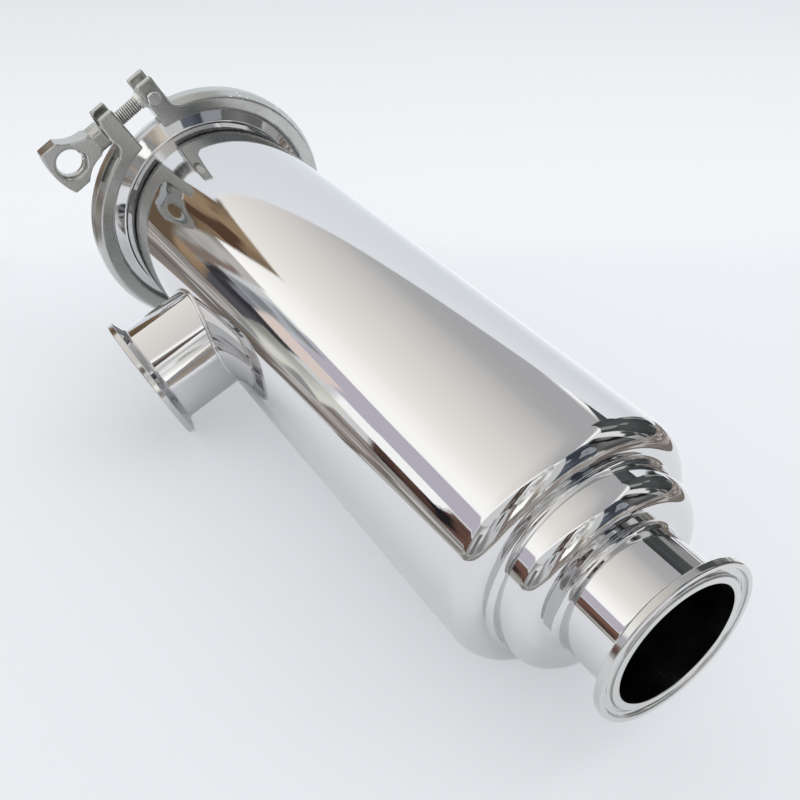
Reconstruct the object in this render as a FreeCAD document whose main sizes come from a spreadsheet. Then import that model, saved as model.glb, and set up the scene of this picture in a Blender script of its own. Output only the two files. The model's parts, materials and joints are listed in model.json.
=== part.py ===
import FreeCAD, Part
import math
import os

import Sketcher

# An angle strainer for 2 inch sanitary tube. The outlet is in line with the body, the inlet
# stands square to it, and a clamped blind cap at the far end lets the screen be drawn out.
#
# The strainer's own axes: +X runs out of the outlet, with x = 0 at the outlet's gasket face,
# and the inlet points along -Y. The whole part is then turned as it comes to rest on a flat
# surface, on the clamp's crown, the body's shoulder and the rim of the inlet.

SIZES = {
    # Both 2 inch ports
    "port_tube_outer": 51.0,
    "port_wall": 1.5,
    "port_rim_height": 6.5,
    "port_ferrule_length": 12.7,
    # Every ferrule
    "ferrule_rim": 2.85,
    "ferrule_bevel": 20.0,
    "neck_round": 1.5,
    "groove_inset": 3.75,
    "groove_width": 3.2,
    "groove_depth": 1.6,
    "groove_round": 1.2,
    # Body tube and its spun reducer
    "body_outer": 101.6,
    "body_wall": 2.0,
    "small_step_share": 0.5534,
    "small_step_face": 27.2,
    "small_step_flat": 3.8,
    "large_step_face": 43.1,
    "large_step_flat": 0.3,
    "valley_round": 2.2,
    "reducer_length": 62.0,
    # Inlet branch
    "branch_station": 260.5,
    "branch_reach": 83.0,
    # Cap end
    "joint_station": 352.5,
    "gasket_thickness": 2.0,
    "gasket_slack": 0.1,
    "gasket_bead_slope": 0.8,
    "body_rim_height": 8.7,
    "body_ferrule_length": 12.7,
    "cap_thickness": 6.35,
    # Clamp ring
    "clamp_width": 15.0,
    "clamp_crown_width": 6.0,
    "clamp_crown_height": 6.8,
    "clamp_edge_height": 4.5,
    "clamp_grip": 2.5,
    "clamp_slack": 0.1,
    "clamp_rim_room": 0.8,
    "clamp_edge_round": 0.8,
    "clamp_crown_round": 1.5,
    "ear_lean": 7.3,
    # Clamp ears
    "ear_gap": 15.6,
    "ear_thickness": 9.8,
    "ear_over_bolt": 9.2,
    "ear_root_wall": 0.9,
    "ear_gusset": 3.6,
    "ear_round": 1.0,
    "slot_slack": 1.0,
    "bolt_height": 13.3,
    "pin_set_back": 4.1,
    # Clamp hinge
    "hinge_height": 9.5,
    "knuckle_outer": 10.0,
    "knuckle_slack": 0.3,
    "lug_reach": 14.0,
    "tongue_width": 6.8,
    "hinge_pin_outer": 4.0,
    "hinge_head_outer": 5.6,
    "split_gap": 0.8,
    "side_slack": 0.15,
    # Swing bolt and pins
    "swing_pin_outer": 6.0,
    "pin_slack": 0.08,
    "swing_head_outer": 7.6,
    "pin_head_height": 1.4,
    "bolt_outer": 8.0,
    "eye_outer": 12.0,
    "eye_room": 0.4,
    "bolt_length": 45.5,
    "bolt_chamfer": 0.8,
    # Wing nut
    "nut_slack": 0.2,
    "thread_slack": 0.06,
    "nut_width": 12.0,
    "nut_depth": 11.6,
    "nut_turned_outer": 13.4,
    "nut_straight": 6.3,
    "nut_length": 32.7,
    "nut_shoulder": 21.2,
    "nut_flat_length": 9.0,
    "nut_flank": 21.76,
    "wing_width": 25.8,
    "wing_thickness": 8.5,
    "wing_taper_end": 16.0,
    "wing_eye_mouth": 16.4,
    "wing_eye_throat": 12.8,
    "wing_eye_station": 22.2,
    # Screen
    "screen_step": 6.0,
    "screen_wall": 1.5,
    "screen_socket": 7.0,
    "screen_slack": 0.1,
    "slot_across": 10.0,
    "slot_bridge": 10.0,
    "slot_end_margin": 5.5,
    "slots_along": 6.0,
    "slots_around": 10.0,
    "mesh_thickness": 0.6,
    "band_width": 12.0,
    "band_thickness": 0.8,
    "seat_set_back": 0.2,
    "seat_land": 5.8,
    "seat_web": 1.8,
    "seat_lip": 2.0,
    "seat_collar": 3.0,
    "seat_slack": 0.15,
    "ring_groove_width": 3.0,
    "ring_groove_depth": 2.1,
    "seal_slack": 0.05,
    "seal_chamfer": 0.65,
    "end_plate_lip": 1.5,
    "end_plate_thickness": 4.0,
    "end_plate_spigot": 4.0,
    "handle_rod": 5.0,
    "handle_width": 26.0,
    "handle_leg": 6.1,
    "handle_room": 0.4,
}

doc = FreeCAD.newDocument("AngleStrainer")
sheet = doc.addObject("Spreadsheet::Sheet", "Sizes")
for row, (alias, number) in enumerate(SIZES.items(), start=1):
    sheet.set(f"A{row}", alias.replace("_", " "))
    sheet.set(f"B{row}", str(number))
    sheet.setAlias(f"B{row}", alias)
doc.recompute()


class Size:
    """A number that carries the expression it comes from, so that a feature can be bound to it."""

    def __init__(self, value, text=None):
        self.value = float(value)
        self.text = repr(self.value) if text is None else text

    def __add__(self, other):
        other = as_size(other)
        return Size(self.value + other.value, f"({self.text} + {other.text})")

    def __sub__(self, other):
        other = as_size(other)
        return Size(self.value - other.value, f"({self.text} - {other.text})")

    def __mul__(self, other):
        other = as_size(other)
        return Size(self.value * other.value, f"({self.text} * {other.text})")

    def __truediv__(self, other):
        other = as_size(other)
        return Size(self.value / other.value, f"({self.text} / {other.text})")

    def __neg__(self):
        return Size(-self.value, f"(-1 * {self.text})")


def as_size(item):
    return item if isinstance(item, Size) else Size(item)


def size(alias):
    """The sheet's value of this name."""
    return Size(sheet.get(alias), f"Sizes.{alias}")


def root(item):
    return Size(math.sqrt(item.value), f"sqrt({item.text})")


def tangent(degrees):
    return Size(math.tan(math.radians(degrees.value)), f"tan({degrees.text} * 1 deg)")


def chord_height(radius, offset):
    """How far along its axis a circle of this radius reaches at a sideways offset."""
    return root(radius * radius - offset * offset)


# Sketches and features

def new_body(name):
    body = doc.addObject("PartDesign::Body", name)
    body.Label = name
    return body


def origin_feature(body, role):
    return [item for item in body.Origin.OriginFeatures if item.Role == role][0]


def new_sketch(body, name, role):
    """A sketch on one of the body's own planes."""
    sketch = body.newObject("Sketcher::SketchObject", name)
    sketch.AttachmentSupport = [(origin_feature(body, role), "")]
    sketch.MapMode = "FlatFace"
    return sketch


def bind(sketch, constraint, item):
    index = sketch.addConstraint(constraint)
    sketch.setExpression(f"Constraints[{index}]", item.text)


def pin(sketch, geometry, point, across, up):
    """Hold one point of a sketch at its two bound distances from the origin."""
    bind(sketch, Sketcher.Constraint("DistanceX", -1, 1, geometry, point, across.value), across)
    bind(sketch, Sketcher.Constraint("DistanceY", -1, 1, geometry, point, up.value), up)


def arc_about(centre, start, end, leftward):
    """An arc from start to end, with the places of its own first and last points."""
    normal = FreeCAD.Vector(0, 0, 1)
    circle = Part.Circle(centre, normal, (start - centre).Length)
    first, last = (start, end) if leftward else (end, start)
    arc = Part.ArcOfCircle(circle, circle.parameter(first), circle.parameter(last))
    return (arc, 1, 2) if leftward else (arc, 2, 1)


def bulge_centre(start, end, radius):
    """The centre of an arc edge: a positive radius bulges to the right of the way it runs."""
    way = end - start
    left = FreeCAD.Vector(-way.y, way.x, 0).normalize()
    depth = math.sqrt(radius * radius - way.Length * way.Length / 4)
    return (start + end) * 0.5 + left * math.copysign(depth, radius)


def draw(sketch, corners, arcs=None):
    """A closed outline, every corner bound to the sheet.

    A corner is (across, up), or (across, up, round) where two straight edges meet in a
    round. arcs gives the radius of the edges that are arcs, by the corner they start at.
    """
    arcs = arcs or {}
    count = len(corners)
    points = [FreeCAD.Vector(as_size(corner[0]).value, as_size(corner[1]).value, 0) for corner in corners]
    arrive = list(points)
    leave = list(points)
    for number, corner in enumerate(corners):
        if len(corner) > 2:
            back = (points[number - 1] - points[number]).normalize()
            ahead = (points[(number + 1) % count] - points[number]).normalize()
            set_back = corner[2].value / math.tan(back.getAngle(ahead) / 2)
            arrive[number] = points[number] + back * set_back
            leave[number] = points[number] + ahead * set_back
    edges = []
    for number in range(count):
        start, end = leave[number], arrive[(number + 1) % count]
        if number in arcs:
            radius = arcs[number].value
            arc, first, last = arc_about(bulge_centre(start, end, radius), start, end, radius > 0)
            edges.append((sketch.addGeometry(arc), first, last))
            positive = arcs[number] if radius > 0 else -arcs[number]
            bind(sketch, Sketcher.Constraint("Radius", edges[-1][0], positive.value), positive)
        else:
            edges.append((sketch.addGeometry(Part.LineSegment(start, end)), 1, 2))
    for number, corner in enumerate(corners):
        before, after = edges[number - 1], edges[number]
        across, up = as_size(corner[0]), as_size(corner[1])
        if len(corner) > 2:
            back = (points[number] - arrive[number]).normalize()
            ahead = (leave[number] - points[number]).normalize()
            leftward = back.cross(ahead).z > 0
            inward = FreeCAD.Vector(-back.y, back.x, 0) * (corner[2].value if leftward else -corner[2].value)
            arc, first, last = arc_about(arrive[number] + inward, arrive[number], leave[number], leftward)
            turn = sketch.addGeometry(arc)
            sketch.addConstraint(Sketcher.Constraint("Tangent", before[0], before[2], turn, first))
            sketch.addConstraint(Sketcher.Constraint("Tangent", turn, last, after[0], after[1]))
            bind(sketch, Sketcher.Constraint("Radius", turn, corner[2].value), corner[2])
            mark = sketch.addGeometry(Part.Point(points[number]), True)
            pin(sketch, mark, 1, across, up)
            sketch.addConstraint(Sketcher.Constraint("PointOnObject", mark, 1, before[0]))
            sketch.addConstraint(Sketcher.Constraint("PointOnObject", mark, 1, after[0]))
        else:
            sketch.addConstraint(Sketcher.Constraint("Coincident", before[0], before[2], after[0], after[1]))
            pin(sketch, after[0], after[1], across, up)
    return sketch


def draw_circle(sketch, across, up, radius):
    across, up = as_size(across), as_size(up)
    centre = FreeCAD.Vector(across.value, up.value, 0)
    circle = sketch.addGeometry(Part.Circle(centre, FreeCAD.Vector(0, 0, 1), radius.value))
    pin(sketch, circle, 3, across, up)
    bind(sketch, Sketcher.Constraint("Radius", circle, radius.value), radius)
    return sketch


def revolve(body, sketch, axis="H_Axis", cut=False):
    """Turn a sketch all the way round one of its own axes, to add material or to cut it."""
    feature = body.newObject("PartDesign::Groove" if cut else "PartDesign::Revolution", "Turned")
    feature.Profile = sketch
    feature.ReferenceAxis = (sketch, [axis])
    feature.Angle = 360
    return feature


def pad(body, sketch, length):
    """A pad of this length, half to each side of its sketch."""
    feature = body.newObject("PartDesign::Pad", "Pad")
    feature.Profile = sketch
    feature.SideType = "Symmetric"
    feature.setExpression("Length", length.text)
    return feature


def pocket(body, sketch, length=None, one_way=False, reverse=False):
    """A pocket through all, or of this length, to both sides of its sketch unless one_way."""
    feature = body.newObject("PartDesign::Pocket", "Pocket")
    feature.Profile = sketch
    feature.SideType = "One side" if one_way else "Symmetric"
    feature.Reversed = reverse
    if length is None:
        feature.Type = "ThroughAll"
    else:
        feature.Type = "Length"
        feature.setExpression("Length", length.text)
    return feature


def turned(name, corners):
    """A piece turned about its own X axis from one outline of (station, radius)."""
    body = new_body(name)
    revolve(body, draw(new_sketch(body, "Profile", "XY_Plane"), corners))
    return body


# Where the pieces lie

port_radius = size("port_tube_outer") / 2
port_bore = port_radius - size("port_wall")
port_rim = port_radius + size("port_rim_height")
body_radius = size("body_outer") / 2
body_bore = body_radius - size("body_wall")
body_rim = body_radius + size("body_rim_height")
step_radius = port_radius + (body_radius - port_radius) * size("small_step_share")
step_bore = step_radius - size("body_wall")
small_round = step_radius - port_radius - size("valley_round") - size("small_step_flat")
large_round = body_radius - step_radius - size("valley_round") - size("large_step_flat")
ferrule_face = size("joint_station") - size("gasket_thickness") / 2
cap_face = size("joint_station") + size("gasket_thickness") / 2
clamp_groove = body_rim + size("clamp_rim_room")
clamp_edge = body_rim + size("clamp_edge_height")
clamp_crown = body_rim + size("clamp_crown_height")
ear_root = clamp_groove + size("ear_root_wall")
hinge_radial = body_rim + size("hinge_height")
bolt_radial = body_rim + size("bolt_height")
ear_top = bolt_radial + size("ear_over_bolt")
beyond_clamp = ear_top + size("clamp_width")
slot_width = size("bolt_outer") + size("slot_slack")
pin_tangential = size("ear_gap") / 2 + size("pin_set_back")
crown_reach = pin_tangential + size("ear_gap") / 2 + size("ear_thickness")
nut_seat = crown_reach + size("nut_slack")


def rest_placement():
    """The turn that lays the part on the clamp's crown, the body's shoulder and the inlet rim."""
    crown = clamp_crown.value
    crown_station = size("joint_station").value - size("clamp_crown_width").value / 2
    shoulder = large_round.value
    shoulder_station = size("large_step_face").value + shoulder
    along = crown_station - shoulder_station
    drop = crown - body_radius.value + shoulder
    pitch = math.atan2(drop, along) - math.asin(shoulder / math.hypot(along, drop))
    past_crown = crown_station - size("branch_station").value
    height = crown * math.cos(pitch) - past_crown * math.sin(pitch)
    rim = port_rim.value
    reach = size("branch_reach").value
    dip = math.asin(height / math.hypot(reach, rim)) - math.atan2(rim, reach)
    roll = math.asin(math.sin(dip) / math.cos(pitch))
    nose_down = FreeCAD.Rotation(FreeCAD.Vector(0, 1, 0), math.degrees(pitch))
    rolled = FreeCAD.Rotation(FreeCAD.Vector(1, 0, 0), math.degrees(roll))
    return FreeCAD.Placement(FreeCAD.Vector(), nose_down.multiply(rolled))


def moved(place, x=0.0, y=0.0, z=0.0):
    return place.multiply(FreeCAD.Placement(FreeCAD.Vector(x, y, z), FreeCAD.Rotation()))


def turned_about(place, axis, degrees):
    turn = FreeCAD.Rotation(FreeCAD.Vector(*axis), degrees)
    return place.multiply(FreeCAD.Placement(FreeCAD.Vector(), turn))


X_AXIS, Z_AXIS = (1, 0, 0), (0, 0, 1)
rest = rest_placement()
branch_face = moved(rest, -size("branch_station").value, -size("branch_reach").value)
branch_frame = turned_about(branch_face, Z_AXIS, -90)
body_ferrule_frame = turned_about(moved(rest, -ferrule_face.value), Z_AXIS, 180)
cap_frame = moved(rest, -cap_face.value)
joint_frame = moved(rest, -size("joint_station").value)
# The clamp's own axes: +Z from the centre to between the ears, +Y towards the wing nut
clamp_frame = turned_about(turned_about(joint_frame, X_AXIS, size("ear_lean").value), Z_AXIS, 180)
# The bolt's own axes: the origin at its pin, the pin along X, the shank along +Z
swing_pin_frame = moved(clamp_frame, y=-pin_tangential.value, z=bolt_radial.value)
bolt_frame = turned_about(swing_pin_frame, X_AXIS, -90)


# Ports, reducer, body and cap

def ferrule_rim_corners(rim, neck):
    """From the bore side of the gasket face, over the groove and the rim, down the bevel."""
    groove_in = rim - size("groove_inset") - size("groove_width") / 2
    groove_out = groove_in + size("groove_width")
    groove_round = size("groove_round")
    bevel_end = size("ferrule_rim") + (rim - neck) * tangent(size("ferrule_bevel"))
    return [
        (0, groove_in),
        (-size("groove_depth"), groove_in, groove_round),
        (-size("groove_depth"), groove_out, groove_round),
        (0, groove_out),
        (0, rim),
        (-size("ferrule_rim"), rim),
        (-bevel_end, neck, size("neck_round")),
    ]


def make_ferrule(name, rim, tube, bore, length, place):
    corners = [(0, bore)] + ferrule_rim_corners(rim, tube) + [(-length, tube), (-length, bore)]
    turned(name, corners).Placement = place


def make_reducer():
    """The spun reducer: neck, small step and large step, of one wall drawn down in two stages."""
    wall = size("body_wall")
    small, large = size("small_step_face"), size("large_step_face")
    valley = size("valley_round")
    corners = [
        (-size("port_ferrule_length"), port_bore),
        (-size("port_ferrule_length"), port_radius),
        (-small, port_radius, valley),
        (-small, step_radius, small_round),
        (-large, step_radius, valley),
        (-large, body_radius, large_round),
        (-size("reducer_length"), body_radius),
        (-size("reducer_length"), body_bore),
        (-large - wall, body_bore, large_round - wall),
        (-large - wall, step_bore, valley + wall),
        (-small - wall, step_bore, small_round - wall),
        (-small - wall, port_bore, valley + size("port_wall")),
    ]
    turned("stepped_reducer", corners).Placement = rest


def make_body_tube():
    far_end = ferrule_face - size("body_ferrule_length")
    corners = [
        (-size("reducer_length"), body_bore),
        (-size("reducer_length"), body_radius),
        (-far_end, body_radius),
        (-far_end, body_bore),
    ]
    body = turned("body_tube", corners)
    hole = new_sketch(body, "InletHole", "XZ_Plane")
    draw_circle(hole, -size("branch_station"), 0, port_bore)
    pocket(body, hole, one_way=True, reverse=True)
    body.Placement = rest


def make_branch_tube():
    """The inlet tube, its inner end coped to sit on the body tube."""
    body = new_body("branch_tube")
    inner_end = size("branch_reach") - chord_height(body_radius, port_radius) + size("port_wall")
    corners = [
        (-size("port_ferrule_length"), port_bore),
        (-size("port_ferrule_length"), port_radius),
        (-inner_end, port_radius),
        (-inner_end, port_bore),
    ]
    revolve(body, draw(new_sketch(body, "Profile", "XY_Plane"), corners))
    saddle = new_sketch(body, "Saddle", "XZ_Plane")
    draw_circle(saddle, -size("branch_reach"), 0, body_radius)
    pocket(body, saddle)
    body.Placement = branch_frame


def make_cap():
    """The blind cap: the same face, groove and bevel as a ferrule, on a solid disc."""
    thickness = size("cap_thickness")
    boss = body_rim - (thickness - size("ferrule_rim")) / tangent(size("ferrule_bevel"))
    bevel = ferrule_rim_corners(body_rim, boss)[:-1]
    corners = [(0, 0)] + bevel + [(-thickness, boss), (-thickness, 0)]
    turned("end_cap", corners).Placement = cap_frame


def make_gasket():
    """A flat ring with a bead on each face that fills the groove beside it."""
    half = size("gasket_thickness") / 2
    slack = size("gasket_slack")
    bead_in = body_rim - size("groove_inset") - size("groove_width") / 2 + slack
    bead_out = bead_in + size("groove_width") - slack * 2
    bead_top = half + size("groove_depth") - slack
    bead_slope = size("gasket_bead_slope")
    corners = [
        (half, body_bore),
        (half, bead_in),
        (bead_top, bead_in + bead_slope),
        (bead_top, bead_out - bead_slope),
        (half, bead_out),
        (half, body_rim),
        (-half, body_rim),
        (-half, bead_out),
        (-bead_top, bead_out - bead_slope),
        (-bead_top, bead_in + bead_slope),
        (-half, bead_in),
        (-half, body_bore),
    ]
    turned("cap_gasket", corners).Placement = joint_frame


# Clamp

def clamp_section():
    """The clamp's crowned outside and the groove inside that draws the two bevels together."""
    opening = body_rim - size("clamp_grip")
    slope = tangent(size("ferrule_bevel"))
    half_rim = size("gasket_thickness") / 2 + size("ferrule_rim") + size("clamp_slack")
    at_opening = half_rim + (body_rim - opening) * slope
    at_groove = half_rim + (body_rim - clamp_groove) * slope
    half_width, half_crown = size("clamp_width") / 2, size("clamp_crown_width") / 2
    return [
        (at_opening, opening),
        (half_width, opening),
        (half_width, clamp_edge, size("clamp_edge_round")),
        (half_crown, clamp_crown, size("clamp_crown_round")),
        (-half_crown, clamp_crown, size("clamp_crown_round")),
        (-half_width, clamp_edge, size("clamp_edge_round")),
        (-half_width, opening),
        (-at_opening, opening),
        (-at_groove, clamp_groove),
        (at_groove, clamp_groove),
    ]


def cut_other_half(body, side):
    """Take away the other half of the ring, and the ring between the two ears."""
    ear_face = size("ear_gap") / 2 * side
    split = size("split_gap") / 2 * side
    away = -beyond_clamp * side
    corners = [
        (ear_face, beyond_clamp),
        (ear_face, 0),
        (split, 0),
        (split, -beyond_clamp),
        (away, -beyond_clamp),
        (away, beyond_clamp),
    ]
    pocket(body, draw(new_sketch(body, "OtherHalf", "YZ_Plane"), corners))


def add_ear(body, side):
    """One ear. The nut's ear has its outside crowned about the swing pin, clear of the nut's face."""
    inner = size("ear_gap") / 2
    half_nut = size("nut_width") / 2
    if side > 0:
        upper = chord_height(crown_reach, size("ear_over_bolt")) - pin_tangential
        lower = chord_height(crown_reach, half_nut) - pin_tangential
        crown = {4: crown_reach}
    else:
        upper = lower = inner + size("ear_thickness")
        crown = {}
    foot = lower + size("ear_gusset")
    base = chord_height(clamp_edge, foot)
    corners = [
        (inner * side, chord_height(ear_root, inner)),
        (foot * side, chord_height(ear_root, foot)),
        (foot * side, base),
        (lower * side, base + size("ear_gusset")),
        (lower * side, bolt_radial - half_nut),
        (upper * side, ear_top),
        (inner * side, ear_top, size("ear_round")),
    ]
    sketch = draw(new_sketch(body, "Ear", "YZ_Plane"), corners, crown)
    pad(body, sketch, size("clamp_width"))


def add_slot(body, side):
    """The slot that the bolt swings out of, open at the ear's top."""
    bottom = bolt_radial - size("eye_outer") / 2 - size("eye_room")
    half = slot_width / 2
    corners = [(-half, beyond_clamp), (-half, bottom), (half, bottom), (half, beyond_clamp)]
    pocket(body, draw(new_sketch(body, "Slot", "XZ_Plane"), corners))


def knuckle_outline(sketch, radius):
    return draw_circle(sketch, 0, -hinge_radial, radius)


def lug_outline(sketch, side):
    """The web that joins the hinge knuckle to its own half of the ring."""
    reach = size("lug_reach")
    knuckle = size("knuckle_outer") / 2
    corners = [
        (0, -(hinge_radial + knuckle)),
        (reach * side, -chord_height(clamp_edge, reach)),
        (reach * side, -chord_height(ear_root, reach)),
        (0, -(hinge_radial - knuckle)),
    ]
    return draw(sketch, corners)


def make_clamp_half(name, side):
    """Side +1 carries the nut's ear and the hinge tongue, side -1 the pivot ear and the fork."""
    body = turned(name, clamp_section())
    cut_other_half(body, side)
    knuckle = size("knuckle_outer") / 2
    knuckle_room = knuckle + size("knuckle_slack")
    tongue = size("tongue_width")
    fork_gap = tongue + size("side_slack") * 2
    if side > 0:
        pocket(body, knuckle_outline(new_sketch(body, "ForkRoom", "YZ_Plane"), knuckle_room))
        pad(body, lug_outline(new_sketch(body, "TongueLug", "YZ_Plane"), side), tongue)
        pad(body, knuckle_outline(new_sketch(body, "Tongue", "YZ_Plane"), knuckle), tongue)
    else:
        width = size("clamp_width")
        pad(body, lug_outline(new_sketch(body, "ForkLug", "YZ_Plane"), side), width)
        pad(body, knuckle_outline(new_sketch(body, "Fork", "YZ_Plane"), knuckle), width)
        pocket(body, knuckle_outline(new_sketch(body, "TongueRoom", "YZ_Plane"), knuckle_room), fork_gap)
    hinge_hole = size("hinge_pin_outer") / 2 + size("pin_slack")
    pocket(body, knuckle_outline(new_sketch(body, "HingeHole", "YZ_Plane"), hinge_hole))
    add_ear(body, side)
    add_slot(body, side)
    if side < 0:
        pin_hole = size("swing_pin_outer") / 2 + size("pin_slack")
        sketch = new_sketch(body, "SwingPinHole", "YZ_Plane")
        pocket(body, draw_circle(sketch, -pin_tangential, bolt_radial, pin_hole))
    body.Placement = clamp_frame


def make_pin(name, outer, head_outer, place):
    """A pin across the clamp with a low head on each side."""
    radius, head = outer / 2, head_outer / 2
    half = size("clamp_width") / 2 + size("side_slack")
    top = half + size("pin_head_height")
    crown = head - size("pin_head_height") / 2
    corners = [
        (-top, 0),
        (-top, crown),
        (-half, head),
        (-half, radius),
        (half, radius),
        (half, head),
        (top, crown),
        (top, 0),
    ]
    turned(name, corners).Placement = place


def make_swing_bolt():
    """The eye round its pin, and the shank that lies through the nut's ear."""
    body = new_body("swing_bolt")
    shank = new_sketch(body, "Shank", "XZ_Plane")
    radius, eye = size("bolt_outer") / 2, size("eye_outer") / 2
    length = size("bolt_length")
    corners = [
        (0, 0),
        (radius, 0),
        (radius, length - size("bolt_chamfer")),
        (radius - size("bolt_chamfer"), length),
        (0, length),
    ]
    revolve(body, draw(shank, corners), axis="V_Axis")
    eye_width = slot_width - size("side_slack") * 2
    pad(body, draw_circle(new_sketch(body, "Eye", "YZ_Plane"), 0, 0, eye), eye_width)
    hole = size("swing_pin_outer") / 2 + size("pin_slack")
    pocket(body, draw_circle(new_sketch(body, "EyeHole", "YZ_Plane"), 0, 0, hole))
    body.Placement = bolt_frame


def draw_eye(sketch, station, thin, deep):
    """Half of the eye's section: a bore that bellies in to its throat, about a line of its own."""
    mouth = size("wing_eye_mouth") / 2
    belly = mouth - size("wing_eye_throat") / 2
    belly_radius = (thin * thin + belly * belly) / (belly * 2)
    corners = [
        (-deep, station),
        (-deep, station + mouth),
        (-thin, station + mouth),
        (thin, station + mouth),
        (deep, station + mouth),
        (deep, station),
    ]
    draw(sketch, corners, {2: belly_radius})
    ends = [FreeCAD.Vector(across.value, station.value, 0) for across in (-deep, deep)]
    axis = sketch.addGeometry(Part.LineSegment(*ends), True)
    pin(sketch, axis, 1, -deep, station)
    pin(sketch, axis, 2, deep, station)
    return sketch


def make_wing_nut():
    """A cast wing nut: a square barrel, its corners turned off, that flares into one flat wing
    with an eye through it."""
    body = new_body("wing_nut")
    half_nut, half_wing = size("nut_width") / 2, size("wing_width") / 2
    straight = nut_seat + size("nut_straight")
    shoulder = nut_seat + size("nut_shoulder")
    flat_end = shoulder + size("nut_flat_length")
    tip = nut_seat + size("nut_length")
    rise = tip - flat_end
    tip_radius = (half_wing * half_wing + rise * rise) / (rise * 2)
    corners = [
        (-half_nut, nut_seat),
        (half_nut, nut_seat),
        (half_nut, straight),
        (half_wing, shoulder),
        (half_wing, flat_end),
        (-half_wing, flat_end),
        (-half_wing, shoulder),
        (-half_nut, straight),
    ]
    arcs = {2: -size("nut_flank"), 4: tip_radius, 6: -size("nut_flank")}
    pad(body, draw(new_sketch(body, "Outline", "YZ_Plane"), corners, arcs), size("nut_depth"))
    deep, thin = size("nut_depth") / 2, size("wing_thickness") / 2
    taper_end = nut_seat + size("wing_taper_end")
    past_tip = tip + size("nut_straight")
    for side in (1, -1):
        corners = [
            (deep * side, straight),
            (thin * side, taper_end),
            (thin * side, past_tip),
            (half_wing * side, past_tip),
            (half_wing * side, straight),
        ]
        pocket(body, draw(new_sketch(body, "SideTaper", "XZ_Plane"), corners))
    turned_radius = size("nut_turned_outer") / 2
    before_seat = nut_seat - size("nut_slack")
    past_corners = half_wing + thin
    corners = [
        (turned_radius, before_seat),
        (past_corners, before_seat),
        (past_corners, shoulder),
        (turned_radius, straight),
    ]
    revolve(body, draw(new_sketch(body, "TurnedCorners", "XZ_Plane"), corners), axis="V_Axis", cut=True)
    eye_station = nut_seat + size("wing_eye_station")
    revolve(body, draw_eye(new_sketch(body, "Eye", "XZ_Plane"), eye_station, thin, deep), axis="Axis0", cut=True)
    bore = new_sketch(body, "Bore", "XY_Plane")
    draw_circle(bore, 0, 0, size("bolt_outer") / 2 + size("thread_slack"))
    pocket(body, bore, eye_station, one_way=True, reverse=True)
    body.Placement = bolt_frame


# Screen

screen_radius = step_bore - size("screen_step")
screen_bore = screen_radius - size("screen_wall")
mesh_bore = screen_radius + size("seal_slack")
mesh_radius = mesh_bore + size("mesh_thickness")
seat_bore = screen_bore - size("seat_lip")
seat_front = size("small_step_face") + small_round + size("seat_set_back")
seat_back = seat_front + size("seat_land")
screen_start = seat_back + size("seat_web")
socket_end = screen_start + size("screen_socket")
bow_radius = size("handle_width") / 2 - size("handle_rod") / 2
bow_station = cap_face - size("handle_room") - size("handle_width") / 2
screen_end = bow_station - size("handle_leg") - size("end_plate_thickness")


def make_seat_ring():
    """The ring that carries the screen's open end, with the groove for its seal."""
    land = step_bore - size("seat_slack")
    groove = land - size("ring_groove_depth")
    lip = (size("seat_land") - size("ring_groove_width")) / 2
    socket = screen_radius + size("screen_slack")
    collar = socket + size("seat_collar")
    corners = [
        (-seat_front, seat_bore),
        (-seat_front, land),
        (-(seat_front + lip), land),
        (-(seat_front + lip), groove),
        (-(seat_back - lip), groove),
        (-(seat_back - lip), land),
        (-seat_back, land),
        (-seat_back, collar),
        (-socket_end, collar),
        (-socket_end, socket),
        (-screen_start, socket),
        (-screen_start, seat_bore),
    ]
    turned("seat_ring", corners).Placement = rest


def make_seal():
    """The seal as it lies squeezed in its groove."""
    slack = size("seal_slack")
    inner = step_bore - size("seat_slack") - size("ring_groove_depth") + slack
    outer = step_bore - slack
    lip = (size("seat_land") - size("ring_groove_width")) / 2
    front = seat_front + lip + slack
    back = seat_back - lip - slack
    soft = size("seal_chamfer")
    corners = [
        (-front, inner + soft),
        (-front, outer - soft),
        (-(front + soft), outer),
        (-(back - soft), outer),
        (-back, outer - soft),
        (-back, inner + soft),
        (-(back - soft), inner),
        (-(front + soft), inner),
    ]
    turned("seat_seal", corners).Placement = rest


def make_screen_tube():
    """The slotted tube that bears the mesh. Each row of slots is cut through both walls."""
    corners = [
        (-screen_start, screen_bore),
        (-screen_start, screen_radius),
        (-screen_end, screen_radius),
        (-screen_end, screen_bore),
    ]
    body = turned("screen_tube", corners)
    slots_around = size("slots_around")
    slotted = screen_end - screen_start - size("slot_end_margin") * 2
    pitch = slotted / size("slots_along")
    half_bridge, half_wide = size("slot_bridge") / 2, size("slot_across") / 2
    cuts = []
    for number in range(int(size("slots_along").value)):
        from_start = screen_start + size("slot_end_margin") + pitch * number
        start, end = from_start + half_bridge, from_start + pitch - half_bridge
        outline = [(-end, -half_wide), (-start, -half_wide), (-start, half_wide), (-end, half_wide)]
        cuts.append(pocket(body, draw(new_sketch(body, "Slot", "XZ_Plane"), outline)))
    half_turn = Size(180.0)
    pattern = body.newObject("PartDesign::PolarPattern", "SlotsAround")
    pattern.Originals = cuts
    pattern.Axis = (origin_feature(body, "X_Axis"), [""])
    pattern.setExpression("Angle", (half_turn - half_turn * 2 / slots_around).text)
    pattern.setExpression("Occurrences", (slots_around / 2).text)
    body.Tip = pattern
    body.Placement = rest


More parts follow.
